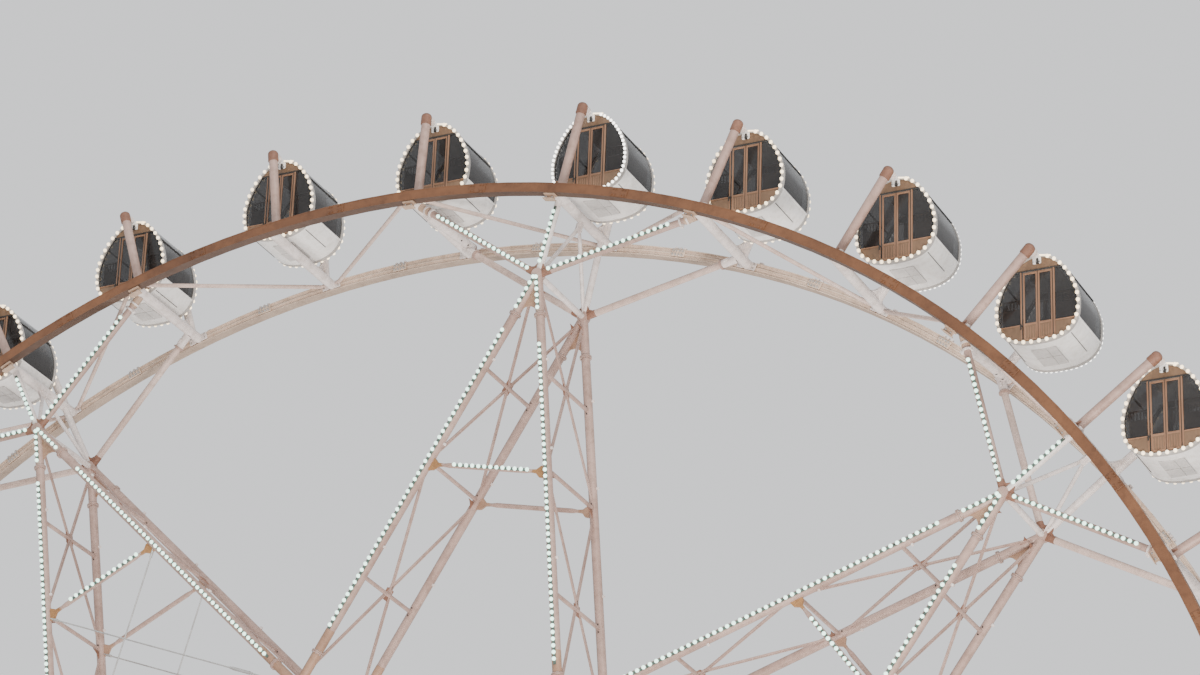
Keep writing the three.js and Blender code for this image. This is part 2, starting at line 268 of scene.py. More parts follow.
def tube(mesh, start, end, radius, paint, sides=20, end_radius=None, round_off=0.0):
    """A round bar or tube between two points, with its ends closed."""
    start, end = Vector(start), Vector(end)
    made = bmesh.ops.create_cone(
        mesh,
        cap_ends=True,
        segments=sides,
        radius1=radius,
        radius2=radius if end_radius is None else end_radius,
        depth=(end - start).length,
        matrix=standing((start + end) / 2, end - start),
    )
    dress(made["verts"], paint)
    if round_off:
        ease(mesh, made["verts"], paint, round_off)


def block(mesh, middle, size, paint, along=upward, beside=sideways, round_off=0.0):
    """A plate or block of a size along its own X, Y and Z, with its edges taken off a little."""
    place = standing(middle, along, beside) @ Matrix.Diagonal((*size, 1))
    made = bmesh.ops.create_cube(mesh, size=1, matrix=place)
    dress(made["verts"], paint)
    if round_off:
        ease(mesh, made["verts"], paint, round_off)


def drawn_out(mesh, faces):
    """Draws faces out into a new layer, and returns the faces and the points of that layer."""
    made = bmesh.ops.extrude_face_region(mesh, geom=faces)["geom"]
    layer = [part for part in made if isinstance(part, bmesh.types.BMFace)]
    return layer, [part for part in made if isinstance(part, bmesh.types.BMVert)]


def plate(mesh, outline, thickness, paint):
    """A flat plate cut to an outline, as thick as the vector that is given."""
    verts = [mesh.verts.new(point - thickness / 2) for point in outline]
    _, lifted = drawn_out(mesh, [mesh.faces.new(verts)])
    bmesh.ops.translate(mesh, verts=lifted, vec=thickness)
    dress([*verts, *lifted], paint)


def bolt(mesh, place, along, radius, height, paint):
    tube(mesh, place, place + along.normalized() * height, radius, paint, 6)


def bolt_rows(mesh, middle, along, up, columns, rows, radius, height, paint):
    """Bolts in columns and rows on a face, whose rows follow each other one way."""
    across = up.cross(along)
    for column in columns:
        for row in rows:
            bolt(mesh, middle + across * column + up * row, along, radius, height, paint)


def curved_gusset(mesh, corner, first, second, reach, thickness, paint):
    """A plate between two tubes that meet at a corner, with its free edge cut to a hollow curve."""
    outline = [corner, corner + first * reach]
    hollow = corner + (first + second) * reach * 0.22
    for step in range(1, 6):
        t = step / 6
        ends = (corner + first * reach) * (1 - t) ** 2 + (corner + second * reach) * t**2
        outline.append(ends + hollow * 2 * t * (1 - t))
    outline.append(corner + second * reach)
    plate(mesh, outline, thickness, paint)


def mesh_data(mesh):
    """Ends a bmesh: faces out, smooth with sharp edges, and with the paints that it uses."""
    bmesh.ops.recalc_face_normals(mesh, faces=mesh.faces)
    used = sorted({face.material_index for face in mesh.faces})
    for face in mesh.faces:
        face.material_index = used.index(face.material_index)
    data = bpy.data.meshes.new("template")
    mesh.to_mesh(data)
    mesh.free()
    for number in used:
        data.materials.append(palette[number])
    data.polygons.foreach_set("use_smooth", [True] * len(data.polygons))
    data.set_sharp_from_angle(angle=smooth_below)
    return data


def piece(data, name, body, stands_for=(), place=Matrix()):
    """Puts a finished mesh into the scene, at a place, as a piece that rides on a body."""
    data.name = name
    data.transform(place)
    made = put_in(name, data)
    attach(made, body)
    if stands_for:
        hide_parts(*stands_for)


def in_each_sector(kind, templates, ending="_steelwork"):
    """Puts a piece made at the wheel's top into each sector, from a few meshes in turn."""
    for number in range(1, sector_count + 1):
        node = f"{kind}_{number}"
        turn = Matrix.Rotation(first_angle + (number - 1) * sector_step, 4, "Y")
        data = templates[(number - 1) % len(templates)].copy()
        stands_for = [node] if ending else []
        piece(data, node + ending, "wheel", stands_for, Matrix.Translation(axle_middle) @ turn)
    for data in dict.fromkeys(templates):
        bpy.data.meshes.remove(data)


def swung(mesh, angle):
    """Turns all that a mesh holds about the axle."""
    bmesh.ops.rotate(mesh, verts=mesh.verts, matrix=Matrix.Rotation(angle, 3, "Y"))


def repeated(mesh, step, count):
    """Repeats all that a mesh holds round the axle."""
    geom = [*mesh.verts, *mesh.edges, *mesh.faces]
    angle = step * (count - 1)
    bmesh.ops.spin(mesh, geom=geom, axis=rearward, angle=angle, steps=count - 1, use_duplicate=True)


def bent_section(mesh, section, paint, underside):
    """Sweeps a section, given as distances from the axle and places along Y, through a sector."""
    verts = [mesh.verts.new(wheel_point(radius, sector_start, y)) for radius, y in section]
    faces = [mesh.faces.new(verts)]
    swept = list(verts)
    step = Matrix.Rotation(sector_step / steps_per_sector, 3, "Y")
    for _ in range(steps_per_sector):
        faces, verts = drawn_out(mesh, faces)
        bmesh.ops.rotate(mesh, verts=verts, matrix=step)
        swept += verts
    # The faces along the section's innermost edge take the underside paint, which on the rims is painted
    # shade.
    low = min(radius for radius, _ in section)
    for face in {face for vert in swept for face in vert.link_faces}:
        is_under = all(abs(vert.co.xz.length - low) < 0.002 for vert in face.verts)
        face.material_index = underside if is_under else paint


def channel(back, face, front):
    """The section of a channel: two flanges, and a web that stands at `face` between them."""
    behind = face + math.copysign(web_thickness, back - face)
    inner = rim_half - flange_thickness
    upper = [(inner, face), (inner, front), (rim_half, front)]
    upper += [(rim_half, back), (inner, back), (inner, behind)]
    lower = [(-rise, y) for rise, y in reversed(upper)]
    return [(rim_radius + rise, y) for rise, y in [*upper, *lower]]


def rim_lengths(mesh):
    """One length of each rim: a channel with its back outwards, and one with a ribbed face."""
    # Each rim's underside takes a darker copy of its paint as painted shade.
    front_channel = channel(rim_half - rim_y, front_face_y + 0.002, front_face_y)
    bent_section(mesh, front_channel, copper_paint, copper_painted_shade)
    face = rear_face_y + face_recess
    bent_section(mesh, channel(rim_y + rim_half, face, rear_face_y), cream_paint, cream_painted_shade)
    rib = [
        (rim_radius - rib_half_width, rear_face_y + 0.004),
        (rim_radius + rib_half_width, rear_face_y + 0.004),
        (rim_radius + rib_half_width, face + web_thickness / 2),
        (rim_radius - rib_half_width, face + web_thickness / 2),
    ]
    bent_section(mesh, rib, cream_paint, cream_paint)


def rim_splices(mesh):
    """The bolted plates over the joints of both rims."""
    middle = Vector((0, front_face_y - 0.004, rim_radius))
    size = (splice_length, rim_half * 1.84, 0.008)
    block(mesh, middle, size, copper_paint, -rearward, round_off=0.002)
    columns = (-0.085, -0.045, 0.045, 0.085)
    rows = (-0.036, 0.036)
    bolt_rows(mesh, middle, -rearward, upward, columns, rows, bolt_radius, 0.016, copper_paint)
    middle = Vector((0, rear_face_y - 0.008, rim_radius))
    size = (splice_length * 0.8, rim_half * 1.4, 0.016)
    block(mesh, middle, size, cream_paint, -rearward, round_off=0.003)
    columns = (-0.065, -0.022, 0.022, 0.065)
    rows = (-0.026, 0.026)
    bolt_rows(mesh, middle, -rearward, upward, columns, rows, bolt_radius * 1.2, 0.026, zinc_coat)
    for x in (-0.06, 0.0, 0.06):
        lug = (x, rear_face_y + 0.03, rim_radius + rim_half + 0.012)
        block(mesh, lug, (0.03, 0.05, 0.03), white_paint, round_off=0.004)


# Yokes. At each cabin a cross tube joins the two rims, and two round arms stand out from it
# to carry the cabin's pivot. They are welded, with brown caps over the arm ends, curved
# gussets at the feet and a white bearing block on the inner side of each arm.
yoke_radius = 11.290
yoke_y = 0.625
pivot_radius = 12.5
cross_tube_radius = 0.062
arm_radius = 0.056
cap_radius = 0.0665
cap_foot = 12.400
cap_shoulder = 12.505
arm_top = 12.557
bearing_radius = 0.052
bearing_bore = 0.0245
bearing_inner_y = 0.492
brace_radius = 0.026
rib_shape = ((0, 0), (0.07, 0), (0.055, -0.035), (0, -0.12))
pale_paint = weathered_paint(
    "pale_rosy_tube_paint", (0.58, 0.45, 0.40), (0.47, 0.34, 0.29), 0.45
)
rosy_paint = weathered_paint("rosy_tube_paint", (0.41, 0.285, 0.245), (0.31, 0.20, 0.165), 0.45)
brown_paint = weathered_paint(
    "brown_gusset_paint", (0.225, 0.108, 0.070), (0.165, 0.076, 0.048), 0.55, 0.0, 2.4
)


def flattened_tube(mesh, start, end, radius, paint, flat_way, sides=12, flat=0.09):
    """A round tube whose ends are pressed flat and squared off for bolting."""
    length = (end - start).length
    stations = [
        (0, 1.35, 0.28),
        (flat * 0.55, 1.35, 0.28),
        (flat * 1.5, 1.0, 1.0),
        (length - flat * 1.5, 1.0, 1.0),
        (length - flat * 0.55, 1.35, 0.28),
        (length, 1.35, 0.28),
    ]
    ring = bmesh.ops.create_circle(mesh, cap_ends=True, segments=sides, radius=radius)["verts"]
    section = list(ring[0].link_faces)
    everything = list(ring)
    before, wide_before, thin_before = 0, 1, 1
    for at, wide, thin in stations:
        if at:
            section, ring = drawn_out(mesh, section)
            everything += ring
        bmesh.ops.translate(mesh, verts=ring, vec=(0, 0, at - before))
        bmesh.ops.scale(mesh, verts=ring, vec=(thin / thin_before, wide / wide_before, 1))
        before, wide_before, thin_before = at, wide, thin
    bmesh.ops.transform(mesh, matrix=standing(start, end - start, flat_way), verts=everything)
    dress(everything, paint)


def domed_cap(mesh, y):
    """The closed end of an arm: a short sleeve with a rounded top."""
    shoulder = (0, y, cap_shoulder)
    tube(mesh, (0, y, cap_foot), shoulder, cap_radius, brown_paint, round_off=0.004)
    flatness = (arm_top - cap_shoulder) / cap_radius
    place = standing(shoulder, upward) @ Matrix.Diagonal((1, 1, flatness, 1))
    made = bmesh.ops.create_uvsphere(
        mesh, u_segments=20, v_segments=10, radius=cap_radius, matrix=place
    )
    dress(made["verts"], brown_paint)


def ring_block(mesh, start, end, outer, inner, paint, sides=20):
    """A thick ring between two points on its axis, such as a bearing housing or a sleeve."""
    start, end = Vector(start), Vector(end)
    place = standing(start, end - start)
    circles = []
    for radius in (outer, inner):
        made = bmesh.ops.create_circle(mesh, segments=sides, radius=radius, matrix=place)
        circles += made["verts"]
    edges = list(dict.fromkeys(edge for vert in circles for edge in vert.link_edges))
    faces = bmesh.ops.bridge_loops(mesh, edges=edges)["faces"]
    _, lifted = drawn_out(mesh, faces)
    bmesh.ops.translate(mesh, verts=lifted, vec=end - start)
    dress([*circles, *lifted], paint)
    round_off = min((end - start).length, outer - inner) * 0.12
    ease(mesh, [*circles, *lifted], paint, round_off, 1.2)


def yoke(mesh):
    ends = [(0, y, yoke_radius) for y in (-rim_y, rim_y)]
    tube(mesh, *ends, cross_tube_radius, white_paint)
    for side in (-1, 1):
        y = side * yoke_y
        inward = rearward * -side
        trim = brown_paint if side < 0 else white_paint
        # The front arm takes the darker rosy paint, partly its pink paint and partly painted shade; the
        # rear arm stays white.
        arm_paint = rosy_paint if side < 0 else white_paint
        tube(mesh, (0, y, yoke_radius), (0, y, cap_foot + 0.02), arm_radius, arm_paint)
        domed_cap(mesh, y)
        bearing_start = (0, side * bearing_inner_y, pivot_radius)
        bearing_end = (0, y - side * (arm_radius - 0.006), pivot_radius)
        ring_block(mesh, bearing_start, bearing_end, bearing_radius, bearing_bore, white_paint)
        rib_foot = Vector((0, y - side * (arm_radius - 0.01), pivot_radius - 0.048))
        rib = [rib_foot + inward * reach + upward * rise for reach, rise in rib_shape]
        plate(mesh, rib, sideways * 0.014, white_paint)
        foot = Vector((0, y, yoke_radius + cross_tube_radius * 0.7))
        beside = inward * arm_radius * 0.7
        reach = 0.26 if side > 0 else 0.15
        curved_gusset(mesh, foot + beside, upward, inward, reach, sideways * 0.026, white_paint)
        curved_gusset(mesh, foot - beside, upward, -inward, 0.12, sideways * 0.018, trim)
        shoe = Vector((0, side * (rear_face_y - 0.012), yoke_radius - 0.01))
        for way in (-sideways, sideways):
            size = (0.085, rim_half * 1.6, 0.014)
            block(mesh, shoe + way * 0.085, size, trim, rearward, sideways, 0.002)
        spots = ((-0.1, 0.1), (-0.028, 0.028))
        bolt_rows(mesh, shoe + inward * 0.006, inward, upward, *spots, bolt_radius, 0.014, zinc_coat)
        lug = (0.16, side * (rim_y - 0.02), rim_radius + rim_half + 0.014)
        block(mesh, lug, (0.05, 0.04, 0.03), white_paint, round_off=0.004)


def rim_brace(mesh, angle, from_y):
    """The zigzag brace of one bay, from one rim's yoke end to the other's at the next yoke."""
    start = wheel_point(yoke_radius, angle, from_y)
    end = wheel_point(yoke_radius, angle + cabin_step, -from_y)
    short = (end - start).normalized() * 0.07
    out = wheel_point(1, angle)
    flattened_tube(mesh, start + short, end - short, brace_radius, pale_paint, out)


rim_mesh = bmesh.new()
rim_splices(rim_mesh)
swung(rim_mesh, cabin_step / 2)
yoke(rim_mesh)
repeated(rim_mesh, cabin_step, 4)
swung(rim_mesh, -cabin_step)
rim_lengths(rim_mesh)
for bay in range(-1, 3):
    rim_brace(rim_mesh, bay * cabin_step, -rim_y if bay % 2 else rim_y)
in_each_sector("rim_sector", [mesh_data(rim_mesh)])


# Spoke frames. Nine pairs of nodes stand inside the rims. From each, short tubes fan out to
# the rims, and two latticed legs run in to the inner ring: a front and a rear tube joined by
# cross bars and crossed diagonals. Brown gussets and bolted flanges join them.
node_radius = 10.250
inner_node_radius = 5.165
node_bar_radius = 0.06688
node_bar_half = 0.0576
inner_node_size = 0.112
chord_radius = 0.055
node_tube_radius = 0.036
link_radius = 0.043
side_tube_radius = 0.056
fan_front_y = -0.600
fan_rear_y = 0.580
leg_bar_radius = 0.025
diagonal_width = 0.044
leg_diagonals = ((0.01, 0.45), (0.47, 0.965))
tie_radius = 0.030
tie_at = 0.465
tie_taper = 0.30
tie_end_shape = ((0.03, 0.075), (0.10, 0.070), (0.15, 0.022), (0.25, 0.013))
leg_bars = (0.228, 0.458, 0.735)
leg_gussets_at = (0.03, 0.465)
leg_end_gap = 0.105
leg_foot_length = 0.65
leg_web_reach = 0.60
flange_at = 0.555
cable_radius = 0.009
turnbuckle_at = 0.75
stayed_every = 3
ochre_paint = weathered_paint(
    "ochre_gusset_paint", (0.33, 0.165, 0.060), (0.25, 0.12, 0.045), 0.5, 0.0, 2.4
)
# Near black, painted as the shade inside holes.
hole_shade = weathered_paint("painted_hole_shade", (0.02, 0.02, 0.02), (0.03, 0.028, 0.026), 0.8)
fitting_paint = weathered_paint(
    "tan_fittings_paint", (0.47, 0.33, 0.24), (0.36, 0.25, 0.18), 0.5, 0.0, 2.4
)
foot_paint = weathered_paint(
    "brown_leg_ends_paint", (0.35, 0.21, 0.138), (0.27, 0.155, 0.10), 0.5
)


def leg_point(side, end, t):
    """A point of a leg's front or rear tube, from its outer node, 0, to its inner one, 1."""
    outer = wheel_point(node_radius, 0, end * yoke_y)
    return outer.lerp(wheel_point(inner_node_radius, side * sector_step / 2, end * yoke_y), t)


def leg_way(side):
    return (leg_point(side, 0, 1) - leg_point(side, 0, 0)).normalized()


def bolt_circle(mesh, middle, way, reach, count, radius, height, first=0.5):
    """Zinc-coated bolts in a circle round a point."""
    place = standing(middle, way)
    for number in range(count):
        turn = math.tau * (number + first) / count
        spot = place @ Vector((math.cos(turn) * reach, math.sin(turn) * reach, 0))
        bolt(mesh, spot, way, radius, height, zinc_coat)


def pipe_flange(mesh, middle, way, radius, paint, bolts=8):
    """A bolted pair of flange rings on a tube, with its bolts on the outer face."""
    for side in (-1, 1):
        tube(mesh, middle + way * side * 0.002, middle + way * side * 0.016, radius, paint)
    bolt_circle(mesh, middle - way * 0.026, way, radius - 0.014, bolts, 0.006, 0.052)


def web_plate(mesh, middle, first, second, reach):
    """A brown gusset between two tubes that leave a node in two directions."""
    bend = (first + second).normalized()
    outline = [
        middle,
        middle + first * reach,
        middle + (first + bend).normalized() * reach * 0.72,
        middle + bend * reach * 0.60,
        middle + (second + bend).normalized() * reach * 0.72,
        middle + second * reach,
    ]
    plate(mesh, outline, rearward * 0.016, brown_paint)


def front_fan_end(mesh, end, way):
    """The rim end of a front tube: a tan sleeve with two white clamps and a small lug below."""
    tube(mesh, end - way * 0.15, end, link_radius * 1.2, fitting_paint, 18)
    for along in (0.11, 0.20):
        clamp = end - way * along
        tube(mesh, clamp - way * 0.012, clamp + way * 0.012, link_radius * 1.42, white_paint, 18)
    lug = end - way * 0.17 - upward * (link_radius + 0.02)
    block(mesh, lug, (0.035, 0.045, 0.05), white_paint, upward, rearward, 0.004)


def rear_fan_end(mesh, end, way):
    """The rim end of a rear tube: a ring, a short white sleeve and a lug at the front."""
    collar = end - way * 0.20
    tube(mesh, collar - way * 0.012, collar + way * 0.012, link_radius * 1.55, rosy_paint, 18)
    tube(mesh, collar, end, link_radius * 1.2, white_paint, 18)
    lug = collar + way * 0.08 - rearward * 0.06
    block(mesh, lug, (0.03, 0.03, 0.06), white_paint, way, rearward, 0.004)


def rim_seat(mesh):
    """A small tan channel bolted under the front rim beside a yoke."""
    beside = Vector((0.02, -rim_y, rim_radius - rim_half))
    for drop, size in (
        (0.010, (0.15, 0.09, 0.020)),
        (0.070, (0.15, 0.09, 0.012)),
        (0.040, (0.15, 0.012, 0.07)),
    ):
        block(mesh, beside - upward * drop, size, fitting_paint, round_off=0.003)
    for x in (-0.04, 0.04):
        bolt(mesh, beside + Vector((x, -0.006, -0.042)), -rearward, 0.010, 0.012, zinc_coat)


def side_tube(mesh):
    """A fat white tube that lies beside a yoke's cross tube, with two near-black discs at the front
    painted as the shade in its holes.
    """
    start = Vector((0.095, yoke_y + 0.04, yoke_radius + 0.02))
    end = Vector((0.095, 0.15 - yoke_y, yoke_radius - 0.10))
    tube(mesh, start, end, side_tube_radius, white_paint)
    tube(mesh, start - (end - start) * 0.03, start, link_radius * 1.3, rosy_paint)
    way = (end - start).normalized()
    out = (sideways - upward).normalized()
    # Two thin near-black discs painted as the shade inside holes.
    for share in (0.15, 0.30):
        hole = start.lerp(end, share) + out * (side_tube_radius - 0.004)
        tube(mesh, hole, hole + out * 0.007, 0.013, hole_shade, 10)
    block(mesh, end - way * 0.02, (0.13, 0.05, 0.05), white_paint, way, sideways, 0.004)


def fan_tubes(mesh):
    """The tube that joins an outer node pair, and the tubes that fan out from it to the rims."""
    nodes = [leg_point(0, end, 0) for end in (-1, 1)]
    tube(mesh, *nodes, node_tube_radius, white_paint)
    lug = Vector((0, 0, yoke_radius - cross_tube_radius - 0.06))
    for size in ((0.10, 0.016, 0.13), (0.016, 0.10, 0.13)):
        block(mesh, lug, size, white_paint, round_off=0.003)
    for node, end_y, paint, fan_end in (
        (nodes[0], fan_front_y, rosy_paint, front_fan_end),
        (nodes[1], fan_rear_y, pale_paint, rear_fan_end),
    ):
        way = (lug - node).normalized()
        brace_start, brace_end = node + way * 0.06, lug - way * 0.01
        flattened_tube(mesh, brace_start, brace_end, leg_bar_radius, white_paint, sideways)
        top = Vector((0, end_y, yoke_radius - cross_tube_radius + 0.01))
        tube(mesh, node, top, link_radius, white_paint, 18)
        for turn in (-cabin_step, cabin_step):
            far = wheel_point(yoke_radius, turn, end_y)
            way = (far - node).normalized()
            end = far - way * cross_tube_radius * 0.9
            tube(mesh, node, end, link_radius, paint, 18)
            web_plate(mesh, node - rearward * 0.02, way, (top - node).normalized(), 0.20)
            tube(mesh, node, node + way * 0.17, link_radius * 1.08, brown_paint, 18)
            fan_end(mesh, end, way)


def double_bar(mesh, start, end, beside):
    """A flat diagonal made of two narrow bars side by side, with its ends bolted down."""
    way = (end - start).normalized()
    apart = way.cross(beside)
    middle = (start + end) / 2
    for offset in (apart * diagonal_width * -0.29, apart * diagonal_width * 0.29):
        size = (diagonal_width * 0.42, 0.020, (end - start).length)
        block(mesh, middle + offset, size, rosy_paint, way, apart, 0.002)
    for place in (start + way * 0.05, end - way * 0.05, middle):
        block(mesh, place, (diagonal_width * 1.1, 0.026, 0.07), rosy_paint, way, apart, 0.003)
        bolt(mesh, place - beside * 0.012, -beside, 0.009, 0.012, zinc_coat)


def lattice_leg(mesh, side):
    way = leg_way(side)
    across = way.cross(rearward)
    for end in (-1, 1):
        start, inner = leg_point(side, end, 0), leg_point(side, end, 1)
        foot = inner - way * leg_end_gap
        tube(mesh, start, foot, chord_radius, rosy_paint)
        tube(mesh, foot - way * leg_foot_length, foot, chord_radius * 1.04, foot_paint)
        for joint in (start + way * flange_at, foot - way * 0.35):
            pipe_flange(mesh, joint, way, chord_radius * 1.36, rosy_paint)
        for t in leg_bars:
            spot = start.lerp(inner, t) - rearward * chord_radius * 0.95
            # Near-black studs in the painted hole shade at each cross bar.
            for along in (-0.05, 0.05):
                bolt(mesh, spot + way * along, -rearward, 0.009, 0.012, hole_shade)
            lug = start.lerp(inner, t * 0.9) + across * (chord_radius + 0.012)
            block(mesh, lug, (0.03, 0.03, 0.03), white_paint, way, across, 0.003)
        inward = rearward * -end
        for t in leg_gussets_at:
            corner = start.lerp(inner, t) + inward * chord_radius * 0.6
            curved_gusset(mesh, corner, way, inward, 0.15, across * 0.012, brown_paint)
    for t in leg_bars:
        bar = [leg_point(side, end, t) for end in (-1, 1)]
        tube(mesh, *bar, leg_bar_radius, rosy_paint, 12)
    for t in (leg_bars[0], leg_bars[2]):
        size = (0.014, 0.15, 0.15)
        block(mesh, leg_point(side, 0, t), size, brown_paint, way, across, 0.003)
    for low, high in leg_diagonals:
        for end in (-1, 1):
            start, stop = leg_point(side, end, low), leg_point(side, -end, high)
            short = (stop - start).normalized() * chord_radius * 0.9
            double_bar(mesh, start + short, stop - short, across)


def tie_bar(mesh, end):
    """A round bar between the legs, whose tapered ends are welded to shaped plates."""
    left, right = leg_point(-1, end, tie_at), leg_point(1, end, tie_at)
    taper = sideways * tie_taper
    tube(mesh, left + taper, right - taper, tie_radius, rosy_paint, 16)
    for start, way in ((left, sideways), (right, -sideways)):
        tip, shoulder = start + way * 0.20, start + way * tie_taper
        tube(mesh, tip, shoulder, 0.017, rosy_paint, 16, tie_radius)
        up = way.cross(rearward)
        upper = [start + way * along + up * rise for along, rise in tie_end_shape]
        lower = [start + way * along - up * rise for along, rise in reversed(tie_end_shape)]
        plate_paint = ochre_paint if end < 0 else foot_paint
        plate(mesh, [*upper, *lower], rearward * 0.030, plate_paint)


def stay_cable(mesh, side, end):
    """A steel rope from a tie's end to the other leg's foot, with a turnbuckle near its foot."""
    top, node = leg_point(side, end, tie_at), leg_point(-side, end, 1)
    way = (node - top).normalized()
    foot = node - way * (inner_node_size - 0.012)
    barrel = foot - way * turnbuckle_at
    for start, low, high, thickness, sides in (
        (top, 0, (foot - top).length, 1.0, 10),
        (barrel, -0.13, 0.13, 2.4, 12),
        (barrel, 0.13, 0.17, 1.7, 6),
        (barrel, -0.17, -0.13, 1.7, 6),
        (foot, -0.13, 0, 1.9, 10),
        (top, 0.05, 0.17, 1.9, 10),
    ):
        ends = (start + way * low, start + way * high)
        tube(mesh, *ends, cable_radius * thickness, zinc_coat, sides)


def spoke_frame(is_stayed):
    mesh = bmesh.new()
    rim_seat(mesh)
    repeated(mesh, cabin_step, 3)
    side_tube(mesh)
    swung(mesh, -cabin_step)
    fan_tubes(mesh)
    for end in (-1, 1):
        node = leg_point(0, end, 0)
        half = rearward * node_bar_half
        tube(mesh, node - half, node + half, node_bar_radius, rosy_paint)
        tie_bar(mesh, end)
        web_thick = rearward * 0.016
        curved_gusset(mesh, node, leg_way(-1), leg_way(1), leg_web_reach, web_thick, foot_paint)
    for side in (-1, 1):
        lattice_leg(mesh, side)
        if is_stayed:
            stay_cable(mesh, side, -1)
            stay_cable(mesh, side, 1)
    return mesh_data(mesh)


plain_frames = [spoke_frame(False)] * (stayed_every - 1)
in_each_sector("spoke_frame", [*plain_frames, spoke_frame(True)])


# Frame lamps. Strings of small white globes with a mint tint are clipped along the front
# tubes of every spoke frame: on the three fan tubes, down both legs and on the tie bar.
lamp_radius = 0.0255
lamp_pitch = 0.083
lamp_strip_width = 0.034
leg_string_start = 0.06
fan_string_start = 0.16
fan_string_short = 0.40
radial_string_short = 0.08
tie_string = (-0.43, 0.57)
leg_string_gap = {-1: 0.25, 1: 0.42}
leg_string_short = {-1: 0.76, 1: 0.57}


def glowing(name, colour, strength):
    """A frosted globe that is lit: pale plastic with a soft glow, a little uneven."""
    glow, tree, surface = new_finish(name, Roughness=0.25, Emission_Strength=strength)
    place = add_node(tree, "TexCoord").outputs["Object"]
    cells = add_node(tree, "TexNoise", Scale=3.0, Vector=place).outputs["Fac"]
    tone = tone_ramp(tree, cells, colour, [0.5 + value / 2 for value in colour])
    plug(tree, surface, Base_Color=tone, Emission_Color=tone)
    return in_palette(glow)


def globe(mesh, middle, radius, paint):
    place = Matrix.Translation(middle)
    made = bmesh.ops.create_uvsphere(mesh, u_segments=8, v_segments=5, radius=radius, matrix=place)
    dress(made["verts"], paint)


def lamp_string(mesh, start, end, tube_size):
    """Globes on a slim strip along the front of a tube."""
    way = (end - start).normalized()
    front = (-rearward + way * rearward.dot(way)).normalized()
    length = (end - start).length
    strip = (start + end) / 2 + front * (tube_size + 0.002)
    size = (lamp_strip_width, 0.010, length)
    block(mesh, strip, size, strip_green, way, way.cross(front))
    for number in range(int(length / lamp_pitch) + 1):
        middle = start + way * number * lamp_pitch + front * (tube_size + lamp_radius * 0.75)
        globe(mesh, middle, lamp_radius, mint_lamp)


mint_lamp = glowing("mint_white_globes", (0.60, 1.0, 0.82), 1.9)
strip_green = weathered_paint("lamp_strip", (0.085, 0.12, 0.10), (0.06, 0.08, 0.07), 0.5, 0.1, 5.0)
lamp_mesh = bmesh.new()
node = leg_point(0, -1, 0)
for turn in (-cabin_step, 0.0, cabin_step):
    far = wheel_point(yoke_radius - (0 if turn else cross_tube_radius), turn, fan_front_y)
    way = (far - node).normalized()
    short = fan_string_short if turn else radial_string_short
    lamp_string(lamp_mesh, node + way * fan_string_start, far - way * short, link_radius)
for side in (-1, 1):
    way = leg_way(side)
    reach = (leg_point(side, -1, 1) - node).length
    again = flange_at + leg_string_gap[side]
    stretches = ((leg_string_start, flange_at - 0.07), (again, reach - leg_string_short[side]))
    for begin, stop in stretches:
        lamp_string(lamp_mesh, node + way * begin, node + way * stop, chord_radius)
tie_middle = (leg_point(-1, -1, tie_at) + leg_point(1, -1, tie_at)) / 2
tie_ends = [tie_middle + sideways * x for x in tie_string]
lamp_string(lamp_mesh, *tie_ends, tie_radius)
in_each_sector("frame_lamps", [mesh_data(lamp_mesh)], "")


# Hub. A welded drum with two heavy flanges turns on the axle, and a pair of spokes runs out
# from the flanges to each inner node pair. The inner nodes are joined by a ring of tubes.
hub_radius = 0.420
hub_flange_radius = 0.640
hub_flange_half = 0.070
hub_cover_radius = 0.33
hub_cover_thickness = 0.05
hub_spoke_radius = 0.060
hub_spoke_foot = hub_flange_radius * 0.8
hub_spoke_joint = 1.05
hub_diagonal_foot = 0.9
hub_diagonal_radius = 0.019
inner_node_half = 0.072
ring_tube_radius = 0.042
ring_joint_at = 0.32
axle_radius = 0.200
axle_bore = 0.03
axle_half_length = 1.500
hub_bolts = 36


def node_drum(mesh, node):
    """An inner node: a short drum with a bolted cover at each end."""
    half = rearward * inner_node_half
    ring_block(mesh, node - half, node + half, inner_node_size, 0.012, white_paint, 24)
    for way in (-rearward, rearward):
        cover = node + way * inner_node_half
        rim = cover + way * 0.008
        tube(mesh, cover - way * 0.01, rim, inner_node_size * 0.62, white_paint)
        bolt(mesh, rim, way, 0.016, 0.014, zinc_coat)


def hub_spokes(mesh):
    """The spokes, node pair and ring tubes at one inner node."""
    half_way = (hub_spoke_foot + inner_node_radius) / 2
    for y in (-yoke_y, yoke_y):
        node = Vector((0, y, inner_node_radius))
        tube(mesh, (0, y, hub_spoke_foot), node, hub_spoke_radius, rosy_paint)
        joint = Vector((0, y, hub_spoke_joint))
        pipe_flange(mesh, joint, upward, hub_spoke_radius * 1.45, brown_paint)
        node_drum(mesh, node)
        following = wheel_point(inner_node_radius, sector_step, y)
        tube(mesh, node, following, ring_tube_radius, rosy_paint, 16)
        way = (following - node).normalized()
        for joint in (node + way * ring_joint_at, following - way * ring_joint_at):
            pipe_flange(mesh, joint, way, ring_tube_radius * 1.5, brown_paint, 6)
        rib_foot = Vector((0, y, hub_flange_radius - 0.02))
        for way in (-sideways, sideways):
            web_plate(mesh, node, -upward, way, 0.24)
            curved_gusset(mesh, rib_foot, upward, way, 0.17, rearward * 0.02, brown_paint)
    for height, radius, sides in (
        (inner_node_radius, chord_radius, 20),
        (half_way, leg_bar_radius, 12),
    ):
        tube(mesh, (0, -yoke_y, height), (0, yoke_y, height), radius, rosy_paint, sides)
    reach = yoke_y - hub_spoke_radius
    for low, high in ((hub_diagonal_foot, half_way), (half_way, inner_node_radius - 0.05)):
        for y in (-reach, reach):
            ends = (Vector((0, y, low)), Vector((0, -y, high)))
            flattened_tube(mesh, *ends, hub_diagonal_radius, rosy_paint, sideways, 10, 0.07)


